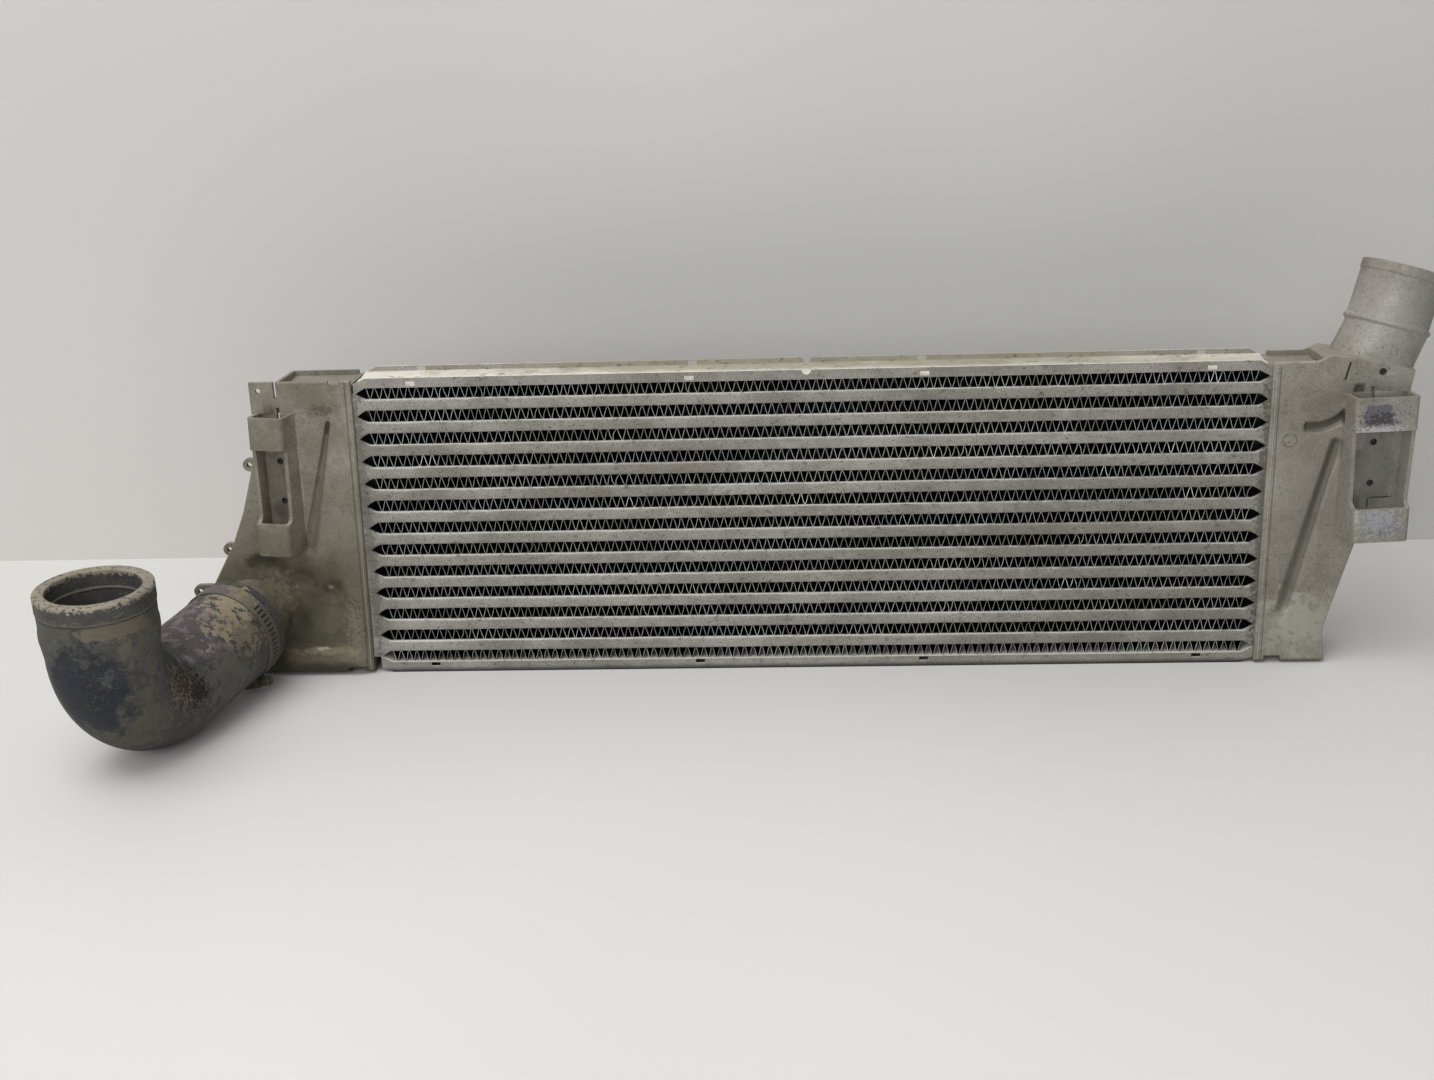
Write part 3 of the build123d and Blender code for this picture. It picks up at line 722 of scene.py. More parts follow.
@dataclass(frozen=True)
class MetalFinish:
    """Dull metal with clouds of dirt, specks, a grain, placed marks, and painted light and shade.

    Attributes:
        name: Name of the material.
        clean: Colour of the bare metal.
        dirt: Colour of the clouds of dirt.
        dirt_share: Share of the surface they cover.
        dirt_strength: How much they hide.
        dirt_scale: Their fineness, per metre.
        spot: Colour of the specks.
        spot_share: Share of the surface with specks.
        spot_scale: Fineness of the specks, per metre.
        metallic: Metallic value.
        roughness: Roughness of the clean metal.
        specular: Specular level, half being that of common surfaces.
        grain_scale: Fineness of the grain, per metre.
        grain_depth: Height of the grain in millimetres.
        top_dust_and_highlight: Share of pale dust and painted highlight on faces that look up.
        stretch: Stretch of the dirt on each axis, as on rolled sheet.
        placed_marks: Placed marks, some of them painted highlight or painted shade.
        troughs: Pressed grooves, and lines of painted highlight and shade.
        arcs: Round grooves and lines, with dirt and painted shade.
        mottle: Contrast of the fine mottling.
        nicks: Share of the surface with fine nicks.
        nick_strength: How dark the nicks are.
        top_dust_and_highlight_edge: Upward share of the normal between which that dust and painted highlight
            show.
        low_dirt: Heights in millimetres between which more dirt gathers, from clean to dirty.
        painted_depth_shade: Distances behind the faces of the core between which the colour turns to painted
            shade.
        top_dust_and_highlight_colour: Colour of the pale dust and painted highlight.
    """

    name: str
    clean: Colour
    dirt: Colour
    dirt_share: float = 0.5
    dirt_strength: float = 0.5
    dirt_scale: float = 28.0
    spot: Colour = (0.05, 0.045, 0.035)
    spot_share: float = 0.3
    spot_scale: float = 420.0
    metallic: float = 0.35
    roughness: float = 0.5
    specular: float = 0.5
    grain_scale: float = 600.0
    grain_depth: float = 0.06
    top_dust_and_highlight: float = 0.15
    stretch: tuple[float, float, float] = (1.0, 1.0, 1.0)
    placed_marks: tuple[PlacedMark, ...] = ()
    troughs: tuple[Trough, ...] = ()
    arcs: tuple[Arc, ...] = ()
    mottle: float = 0.12
    low_dirt: tuple[float, float] | None = None
    painted_depth_shade: tuple[float, float] | None = None
    top_dust_and_highlight_colour: Colour = srgb(196, 192, 180)
    top_dust_and_highlight_edge: tuple[float, float] = (0.35, 0.95)
    nicks: float = 0.4
    nick_strength: float = 0.25

    def build(self, effects: Effects) -> bpy.types.Material:
        """Makes the material.

        Args:
            effects: The shared shader groups.

        Returns:
            The finished material.
        """
        material, nodes, place = new_material(self.name)
        drawn = nodes.vector("MULTIPLY", place, self.stretch)
        axes = nodes.parts(place)
        clouds = {"Place": drawn, "Scale": self.dirt_scale, "Share": self.dirt_share}
        grime = nodes.group(effects.grime, clouds)
        veil = nodes.times(grime, self.dirt_strength)
        if self.low_dirt:
            gathered = nodes.times(nodes.ramp(axes["Z"], *metres(*self.low_dirt)), 0.75)
            veil = nodes.math("MAXIMUM", nodes.times(veil, 0.8), gathered)
        colour = nodes.mix(veil, self.clean, self.dirt)
        cloud = nodes.ramp(nodes.noise(drawn, self.dirt_scale * 0.35, 2.0), 0.35, 0.7)
        colour = nodes.mix(cloud, colour, nodes.mix(1.0, colour, CLOUD_TINT, "MULTIPLY"))
        fine = nodes.ramp(nodes.noise(place, 820.0, 4.0, 0.7), 0.32, 0.68)
        bright = nodes.plus(nodes.times(fine, 2 * self.mottle), 1 - self.mottle)
        shade = nodes.add("ShaderNodeCombineColor", {0: bright, 1: bright, 2: bright}).outputs[0]
        colour = nodes.mix(1.0, colour, shade, "MULTIPLY")
        # Faces that look up are laid over with pale dust and painted highlight.
        normal = nodes.add("ShaderNodeTexCoord").outputs["Normal"]
        up = nodes.ramp(nodes.vector("DOT_PRODUCT", normal, (0.0, 0.0, 1.0)), *self.top_dust_and_highlight_edge)
        colour = nodes.lay(colour, self.top_dust_and_highlight_colour, up, self.top_dust_and_highlight)
        for placed_mark in self.placed_marks:
            colour = placed_mark.paint(nodes, effects, place, colour)
        sunk = 0.0
        # Grooves and lines lay dirt, painted shade or painted highlight over the colour.
        for groove in (*self.troughs, *self.arcs):
            depth = groove.carve(nodes, effects, place)
            colour = nodes.lay(colour, groove.colour, depth, groove.dirt)
            sunk = nodes.plus(sunk, nodes.times(depth, groove.depth))
        nicks = nodes.group(effects.pits, {"Place": drawn, "Share": self.nicks})
        colour = nodes.lay(colour, self.spot, nicks, self.nick_strength)
        dots = {"Place": drawn, "Scale": self.spot_scale, "Share": self.spot_share}
        spots = nodes.group(effects.specks, dots)
        colour = nodes.lay(colour, self.spot, spots, 0.75)
        # Painted shade: deep inside the core the colour turns dark.
        if self.painted_depth_shade:
            from_back = nodes.minus(CORE_DEPTH * MM, axes["Y"])
            inside = nodes.ramp(nodes.math("MINIMUM", axes["Y"], from_back), *metres(*self.painted_depth_shade))
            colour = nodes.mix(inside, colour, INSIDE)
        rough = nodes.math("ADD", nodes.times(grime, 0.22), self.roughness, clamp=True)
        grain = nodes.group(effects.grain, {"Place": place, "Scale": self.grain_scale})
        height = nodes.minus(nodes.times(grain, self.grain_depth), sunk)
        nodes.surface(height, MM, {"Base Color": colour, "Roughness": rough, "Metallic": self.metallic,
                                   "Specular IOR Level": self.specular})
        return material


@dataclass(frozen=True)
class RubberFinish:
    """Worn moulded rubber with a film of dust, dry mud, scuffs and placed marks, among them painted highlight
    and shade.

    Attributes:
        name: Name of the material.
        base: Colour of the rubber.
        faded: Colour of its faded clouds.
        mud: Colour of the dry mud.
        placed_marks: Placed marks, among them painted highlight and shade.
    """

    name: str
    base: Colour
    faded: Colour
    mud: Colour
    placed_marks: tuple[PlacedMark, ...] = ()

    def build(self, effects: Effects) -> bpy.types.Material:
        """Makes the material.

        Args:
            effects: The shared shader groups.

        Returns:
            The finished material.
        """
        material, nodes, place = new_material(self.name)
        cloud = nodes.group(effects.grime, {"Place": place, "Scale": 24.0, "Share": 0.5, "Edge": 0.08})
        colour = nodes.lay(self.base, self.faded, cloud, 0.7)
        film = nodes.noise(nodes.vector("MULTIPLY", place, (1.0, 1.0, 2.2)), 130.0, 10.0, 0.75)
        film = nodes.ramp(film, 0.5, 0.64)
        colour = nodes.lay(colour, self.mud, film, 0.3)
        for placed_mark in self.placed_marks:
            colour = placed_mark.paint(nodes, effects, place, colour)
        colour = nodes.lay(colour, self.mud, film, 0.12)
        worn = nodes.ramp(nodes.noise(place, 55.0, 8.0, 0.7), 0.56, 0.36)
        colour = nodes.lay(colour, nodes.mix(1.0, colour, WORN_TINT, "MULTIPLY"), worn, 0.45)
        for scale, share, size, over, strength in (
            (620.0, 0.65, 0.2, srgb(150, 144, 130), 0.45),  # pale dust
            (480.0, 0.5, 0.22, srgb(30, 28, 26), 0.5),  # dark pits
        ):
            dots = {"Place": place, "Scale": scale, "Share": share, "Size": size}
            spots = nodes.group(effects.specks, dots)
            colour = nodes.lay(colour, over, spots, strength)
        rough = nodes.math("ADD", nodes.times(film, 0.2), 0.62, clamp=True)
        grain = nodes.group(effects.grain, {"Place": place, "Scale": 500.0, "Roll": 1.2})
        height = nodes.plus(grain, nodes.times(film, 0.9))
        inputs = {"Base Color": colour, "Roughness": rough, "Specular IOR Level": 0.25}
        nodes.surface(height, 0.2 * MM, inputs)
        return material


DARK_OLIVE = srgb(52, 49, 37)
HOLE_SHADE = srgb(30, 29, 26)


def hole(x: float, y: float, z: float, radius: float) -> PlacedMark:
    """Painted shade inside a small hole of a tank's front wall."""
    return PlacedMark((x, y, z), (radius + 0.3, 4.0, radius + 0.3), HOLE_SHADE, 0.95, 0.0, 60, 0.2)


LEFT_SWELLS = (
    Swell((-392.0, 46.0), (-385.0, 46.0), (40.0, 42.0), 3.4),
    Swell((-372.0, 9.0), (-324.0, 9.0), (15.0, 12.0), 4.2),
    Swell((-384.0, 86.5), (-360.0, 74.0), (9.0, 11.0), -1.5),
    Swell((-360.0, 74.0), (-338.0, 63.0), (11.0, 9.0), -1.7),
    Swell((-362.0, 38.0), (-362.0, 44.0), (9.0, 9.0), -1.6),
    Swell((-338.5, 66.5), (-338.0, 66.5), (4.0, 4.0), 1.6),
    Swell((-322.0, 24.0), (-323.0, 46.0), (7.0, 5.0), 0.6),
)
RIGHT_SWELLS = (
    Swell((338.0, 190.0), (352.0, 198.0), (14.0, 18.0), 1.4),
    Swell((333.0, 178.0), (354.0, 186.0), (5.0, 6.5), 0.9),
    Swell((336.0, 130.0), (345.0, 150.0), (8.0, 8.0), 0.6),
)
# Pale colour of painted highlights along the lips and on a boss.
PAINTED_HIGHLIGHT = srgb(176, 172, 158)
FIN_BENDS = (
    (-261.0, 158.6, 8.0), (-4.0, 126.0, 8.0), (84.8, 158.6, 5.0), (200.1, 142.3, 4.0), (246.6, 158.6, 5.0),
    (-122.7, 126.0, 4.0), (177.7, 60.9, 5.0), (258.4, 126.0, 4.0), (271.2, 207.5, 5.0),
)  # X, Z and half width of the places where bent fins catch the light
LEFT_MARKS_AND_PAINTED_LIGHT = (
    PlacedMark((-360, -3, 50), (66, 30, 68), srgb(72, 66, 49), 0.9, 0.5, 40, 0.8),
    # Dirt and painted shade under the bracket, along the valley, round the boss and beside the neck; the pale
    # dot on the boss is a painted highlight.
    PlacedMark((-386, -4, 88), (17, 16, 8), DARK_OLIVE, 0.85, 0.7, 170, 0.7),
    PlacedMark((-364, -4, 76), (20, 12, 13), DARK_OLIVE, 0.55, 0.8, 180, 0.9),
    PlacedMark((-346, -4, 62), (17, 12, 10), DARK_OLIVE, 0.75, 0.7, 180, 0.8),
    PlacedMark((-334, -4, 69), (7, 12, 7), DARK_OLIVE, 0.75, 0.6, 180, 0.8),
    PlacedMark((-338.3, -4, 67.5), (3, 12, 2.5), PAINTED_HIGHLIGHT, 0.4, 0.6, 300, 0.8),
    PlacedMark((-363, -5, 38), (14, 16, 26), DARK_OLIVE, 0.85, 0.6, 160, 0.8),
    # Painted highlight along the sleeve's right edge.
    PlacedMark((-350.2, -3, 150), (0.8, 2, 28), srgb(150, 145, 132), 0.6, 1.2, 300, 0.6),
    # Dark band below the bottom ledge, then painted light along the ledge's top and a painted highlight on
    # it.
    PlacedMark((-346, -6, 5), (38, 16, 9), DARK_OLIVE, 0.7, 0.6, 130, 0.7),
    PlacedMark((-346, -6, 19), (28, 16, 3.5), srgb(134, 128, 104), 0.5, 0.8, 200, 0.7),
    PlacedMark((-349, -6, 20), (9, 12, 1.8), srgb(196, 190, 172), 0.5, 0.9, 340, 0.8),
    PlacedMark((-338, -5, 46), (12, 12, 18), srgb(98, 88, 70), 0.6, 1.2, 220, 0.5),
    PlacedMark((-324, -5, 34), (7, 12, 26), srgb(134, 127, 104), 0.4, 1.5, 420, 0.6),
    PlacedMark((-376, -3, 62), (12, 14, 22), srgb(118, 110, 92), 0.5, 1.3, 240, 0.5),
    PlacedMark((-366, -3, 146), (14, 9, 36), srgb(80, 76, 64), 0.6, 0.4, 90, 0.5),
    PlacedMark((-366, -3, 126), (14, 9, 12), srgb(56, 51, 40), 0.6, 0.5, 120, 0.8),
    PlacedMark((-355, -3, 204), (30, 12, 8), srgb(112, 106, 94), 0.5, 1.0, 160, 0.6),
    PlacedMark((-331, -3, 198), (8, 6, 4), srgb(78, 73, 60), 0.7, 1.6, 420, 0.3),
    PlacedMark((-372, -20, 107), (26, 12, 17), srgb(92, 86, 70), 0.6, 0.9, 130, 0.4),
    PlacedMark((-372, -20, 176), (28, 12, 18), srgb(104, 99, 86), 0.4, 1.2, 130, 0.4),
    # Painted shade inside the holes of the sleeve's back wall.
    hole(-363.5, -1.5, 132.7, 2.3),
    hole(-363.5, -1.5, 161.6, 2.3),
)
RIGHT_MARKS_AND_PAINTED_SHADE = (
    PlacedMark((398, 14, 250), (52, 48, 40), srgb(160, 158, 155), 0.28, 0.5, 60, 0.4),
    PlacedMark((336, -4, 30), (30, 14, 28), srgb(152, 150, 136), 0.75, 1.1, 120, 0.6),
    PlacedMark((340, -4, 112), (34, 16, 56), srgb(112, 108, 99), 0.55, 0.5, 40, 0.8),
    PlacedMark((365.2, -3, 199.3), (4.2, 6, 3.8), srgb(72, 70, 65), 0.8, 0.2, 200, 0.3, 6.0),
    PlacedMark((378, -18, 183), (18, 6, 12), srgb(132, 129, 130), 0.5, 0.7, 160, 0.3, 4.0),
    PlacedMark((377, -18, 174.6), (14, 6, 3.2), srgb(176, 174, 173), 0.7, 1.8, 420, 0.2, 4.0),
    PlacedMark((375, -18, 185), (9.5, 6, 7), srgb(88, 84, 93), 0.85, 0.3, 300, 0.15, 8.0),
    PlacedMark((376, -18, 181.5), (9.5, 6, 4), srgb(40, 37, 42), 0.7, 2.0, 420, 0.1, 8.0),
    PlacedMark((382, -22, 110), (18, 8, 11), srgb(116, 117, 120), 0.75, 0.6, 120, 0.5),
    PlacedMark((380, -22, 112), (12, 8, 10), srgb(160, 161, 164), 0.5, 2.2, 330, 0.12),
    PlacedMark((380, -3, 146), (18, 9, 36), srgb(88, 86, 82), 0.6, 0.4, 90, 0.5),
    # Painted shade in the L-shaped slot of the bracket's back wall.
    PlacedMark((385, -3, 122.3), (9, 4, 0.6), HOLE_SHADE, 0.85, 0.0, 60, 0.2),
    PlacedMark((376.5, -3, 118.6), (0.6, 4, 4.4), HOLE_SHADE, 0.85, 0.0, 60, 0.2),
    # Painted shade inside the holes of the back wall and the lug.
    hole(377.2, -2.5, 132.7, 2.3),
    hole(377.2, -2.5, 161.6, 2.3),
    hole(379.7, -1.5, 209.7, 2.5),
)
# Painted highlight and painted shade along the tank lips beside the core, and painted shadow where the feet
# meet the floor.
LIP_LIGHT = dict(half=(0.8, 0.8), depth=-0.4, dirt=0.42, colour=PAINTED_HIGHLIGHT)
LIP_SHADE = dict(half=(0.7, 0.7), depth=0.4, dirt=0.45, colour=srgb(70, 67, 56))
FOOT_SHADE = dict(half=(4.8, 4.8), depth=0.0, dirt=1.0, colour=srgb(24, 23, 32))
# Dirt and painted shade in the hollows of the left tank.
VALLEY = dict(depth=0.3, colour=srgb(50, 45, 31))
LEFT_TROUGHS = (
    # Dirt and painted shade along the valleys.
    Trough((-391.0, 87.5), (-372.0, 85.0), (9.0, 8.0), dirt=0.5, **VALLEY),
    Trough((-364.0, 26.0), (-362.0, 50.0), (10.0, 12.0), dirt=0.5, **VALLEY),
    Trough((-376.0, 6.5), (-326.0, 5.0), (9.0, 8.0), dirt=0.6, **VALLEY),
    Trough((-338.0, 71.5), (-331.5, 66.0), (5.5, 5.0), dirt=0.45, **VALLEY),
    # The long groove and its top end, with dirt and painted shade.
    Trough((-327.6, 188.0), (-349.6, 97.0), (2.2, 6.2), 1.9, 0.55),
    Trough((-327.4, 188.0), (-329.0, 181.0), (2.2, 2.2), 1.0, 0.7, DARK_OLIVE),
    # Painted highlight and painted shade along the lip, and painted shadow along the foot.
    Trough((-311.2, 216.0), (-315.4, 3.0), **LIP_LIGHT),
    Trough((-313.4, 216.0), (-317.6, 3.0), **LIP_SHADE),
    Trough((-372.0, 0.0), (-310.0, 0.0), **FOOT_SHADE),
)
RIGHT_TROUGHS = (
    # The long groove with dirt and painted shade, and painted shade in the lug's slit.
    Trough((325.8, 43.5), (353.0, 161.0), (6.2, 5.2), 2.4, 0.62, DARK_GROOVE_SHADE_AND_DIRT),
    Trough((355.6, 205.4), (358.2, 215.8), (0.9, 0.9), 1.2, 0.95, HOLE_SHADE),
    # Painted highlight and painted shade along the lip, and painted shadow along the foot.
    Trough((311.4, 214.0), (311.4, 3.0), **LIP_LIGHT),
    Trough((313.6, 214.0), (313.6, 3.0), **LIP_SHADE),
    Trough((310.0, 0.0), (372.0, 0.0), **FOOT_SHADE),
)
RIGHT_ARCS = (
    # A small ring and the curved groove, with dirt and painted shade.
    Arc((322.4, 163.2), 4.6, 0.5, 0.3, 0.4),
    Arc((337.65, 199.2), 26.9, 4.8, 2.4, 0.9, 332.0, 190.0),
)
# Painted highlights where bent fins catch the light.
FIN_PAINTED_GLINTS = tuple(
    PlacedMark((x, 2, z), (width, 3, 6), srgb(255, 255, 250), 0.9, 1.2, 240, 0.3)
    for x, z, width in FIN_BENDS
)
TUBE_MARKS_AND_PAINTED_SHADE = (
    # Painted shade at the tube ends beside the tank lips.
    PlacedMark((307.5, -1, 110), (4.5, 6, 120), srgb(62, 60, 56), 0.75, 1.5, 330, 0.5, 6.0),
    PlacedMark((-307.5, -1, 110), (4.0, 6, 120), srgb(84, 82, 74), 0.6, 1.2, 300, 0.5, 6.0),
    PlacedMark((240.4, 0, 199.4), (6.5, 3, 4.2), srgb(108, 108, 106), 0.7, 0.3, 300, 0.2, 8.0),
    PlacedMark((150, 0, 96), (60, 4, 40), srgb(112, 108, 100), 0.5, 1.6, 90, 0.4),
    PlacedMark((235, 0, 112), (110, 6, 130), srgb(108, 106, 98), 0.4, 0.9, 60, 0.6),
    PlacedMark((-120, 0, 150), (90, 4, 26), srgb(116, 112, 103), 0.4, 1.6, 90, 0.4),
)
PLATE_STAINS = (
    PlacedMark((0, 34, 217), (330, 15, 16), srgb(150, 145, 124), 0.75, 0.5, 34, 0.7, 6.0),
    PlacedMark((60, 24, 217), (330, 22, 16), srgb(170, 166, 148), 0.35, 1.1, 45, 0.7, 6.0),
)
# Painted shadow along the lower plate's bottom edge, where it meets the floor.
PLATE_FOOT_SHADOW = (Trough((-310.0, 0.0), (310.0, 0.0), **FOOT_SHADE),)
HOSE_MARKS_AND_PAINTED_LIGHT = (
    PlacedMark((-478, -150, 80), (14, 40, 60), srgb(72, 68, 60), 0.6, 0.9, 120, 0.4),
    PlacedMark((-424, -172, 34), (28, 24, 28), srgb(80, 77, 66), 0.8, 1.5, 130, 0.2),
    PlacedMark((-440, -180, 6), (40, 40, 12), srgb(70, 69, 66), 0.6, 1.2, 90, 0.4),
    PlacedMark((-448, -186, 68), (32, 40, 42), srgb(32, 38, 45), 0.95, 0.6, 120, 0.35),
    PlacedMark((-418, -182, 112.5), (28, 22, 5), srgb(100, 92, 79), 0.85, 0.5, 220, 0.12, 4.0),
    PlacedMark((-421, -178, 98), (5, 9, 12), srgb(100, 95, 84), 0.6, 1.4, 220, 0.3),
    PlacedMark((-432, -185, 80), (3.5, 4, 6), srgb(104, 106, 104), 0.25, 2.4, 330, 0.2),
    PlacedMark((-416, -160, 90), (10, 14, 24), srgb(88, 84, 75), 0.5, 1.8, 170, 0.4),
    PlacedMark((-414, -80, 70), (32, 46, 24), srgb(112, 105, 104), 0.85, 0.8, 90, 0.5),
    PlacedMark((-408, -92, 70), (26, 40, 16), srgb(66, 61, 62), 0.7, 2.0, 110, 0.2),
    PlacedMark((-397, -48, 74), (16, 16, 12), srgb(146, 134, 112), 0.9, 2.0, 190, 0.1),
    PlacedMark((-396, -72, 72), (12, 17, 9), srgb(138, 126, 105), 0.85, 2.5, 190, 0.1),
    PlacedMark((-386, -62, 56), (12, 16, 12), srgb(128, 116, 96), 0.6, 2.2, 210, 0.15),
    PlacedMark((-378, -38, 58), (8, 10, 22), srgb(56, 60, 64), 0.7, 0.9, 160, 0.3),
    PlacedMark((-392, -90, 40), (16, 40, 22), srgb(94, 90, 84), 0.75, 1.2, 140, 0.5),
    PlacedMark((-405, -136, 54), (9, 13, 16), srgb(106, 94, 76), 0.75, 1.2, 250, 0.2),
    PlacedMark((-403, -133, 54), (7, 12, 14), srgb(26, 24, 23), 0.85, 2.6, 460, 0.1),
    PlacedMark((-400, -122, 43), (6, 8, 9), srgb(24, 24, 24), 0.95, 1.4, 320, 0.1),
    PlacedMark((-446, -152, 129.6), (60, 60, 2.9), srgb(156, 148, 130), 0.75, 1.3, 330, 0.3),
    # Painted highlight and painted shade along the edge of the old clamp's print.
    PlacedMark((-446, -152, 118.6), (60, 60, 0.8), srgb(126, 119, 105), 0.6, 0.3, 300, 0.5),
    PlacedMark((-446, -152, 117.0), (60, 60, 0.8), srgb(36, 35, 34), 0.6, 0.3, 300, 0.5),
)
CLAMP_STAINS = (
    PlacedMark((-412, -34, 84), (16, 22, 20), srgb(96, 91, 92), 0.85, 0.8, 160, 0.3),
    PlacedMark((-388, -26, 88), (16, 22, 16), srgb(132, 120, 98), 0.85, 1.6, 180, 0.2),
    PlacedMark((-372, -34, 60), (14, 20, 30), srgb(84, 80, 74), 0.7, 1.4, 200, 0.3),
)


@dataclass
class Finishes:
    """Every material of the part, built once."""

    effects: Effects = field(default_factory=Effects)

    def __post_init__(self) -> None:
        """Builds the materials, and the two tanks' own versions."""
        cast = dict(metallic=0.25, roughness=0.5, spot_share=0.6, grain_depth=0.09, mottle=0.18,
                    nicks=0.65, nick_strength=0.35)
        sheet = dict(clean=srgb(150, 148, 142), dirt=srgb(108, 104, 94), metallic=0.3, roughness=0.44,
                     stretch=(0.6, 1.0, 1.0), grain_scale=300.0, grain_depth=0.05, mottle=0.26,
                     nicks=0.75, nick_strength=0.6)
        fin_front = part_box("air_fin_01")[0][1] / MM
        self.left_tank = MetalFinish(
            "cast_left", clean=srgb(141, 137, 126), dirt=srgb(90, 84, 66), dirt_share=0.65, dirt_strength=0.7,
            placed_marks=LEFT_MARKS_AND_PAINTED_LIGHT, troughs=LEFT_TROUGHS, low_dirt=(190.0, 60.0), **cast).build(self.effects)
        self.right_tank = MetalFinish(
            "cast_right", clean=srgb(143, 140, 132), dirt=srgb(100, 94, 78), dirt_share=0.4,
            dirt_strength=0.45, placed_marks=RIGHT_MARKS_AND_PAINTED_SHADE, troughs=RIGHT_TROUGHS, arcs=RIGHT_ARCS,
            **cast).build(self.effects)
        # The tubes' top edges get a painted highlight, and their insides painted shade.
        self.tube = MetalFinish(
            "tube_sheet", dirt_share=0.5, dirt_strength=0.65, spot_share=0.9, top_dust_and_highlight=0.9, placed_marks=TUBE_MARKS_AND_PAINTED_SHADE,
            top_dust_and_highlight_colour=srgb(226, 222, 212), top_dust_and_highlight_edge=(0.7, 0.93), painted_depth_shade=(1.9, 3.0),
            **sheet).build(self.effects)
        # The plates' upward faces are laid nearly white: pale dust and painted highlight.
        self.plate = MetalFinish(
            "plate_sheet", dirt_share=0.5, dirt_strength=0.6, top_dust_and_highlight=0.92, top_dust_and_highlight_colour=srgb(236, 233, 220),
            placed_marks=PLATE_STAINS, troughs=PLATE_FOOT_SHADOW, **sheet).build(self.effects)
        # The fins' pale colour is partly painted light on their front edges.
        self.fin = MetalFinish(
            "fin_sheet", clean=srgb(214, 213, 210), dirt=srgb(132, 129, 125), dirt_share=0.55,
            dirt_strength=0.8, metallic=0.0, roughness=0.78, specular=0.08, spot_share=0.1,
            nick_strength=0.0, grain_depth=0.0, top_dust_and_highlight=0.0, placed_marks=FIN_PAINTED_GLINTS,
            painted_depth_shade=(fin_front + 0.1, fin_front + 0.45)).build(self.effects)
        self.steel = MetalFinish(
            "clamp_steel", clean=srgb(118, 112, 99), dirt=srgb(86, 78, 63), dirt_share=0.8, dirt_strength=0.9,
            metallic=0.3, roughness=0.55, grain_depth=0.06, mottle=0.26, nicks=0.9, nick_strength=0.5,
            spot_share=0.9, placed_marks=CLAMP_STAINS).build(self.effects)
        self.hose = RubberFinish("elbow_rubber", base=srgb(58, 58, 58), faded=srgb(80, 76, 70),
                                 mud=srgb(122, 114, 98), placed_marks=HOSE_MARKS_AND_PAINTED_LIGHT).build(self.effects)


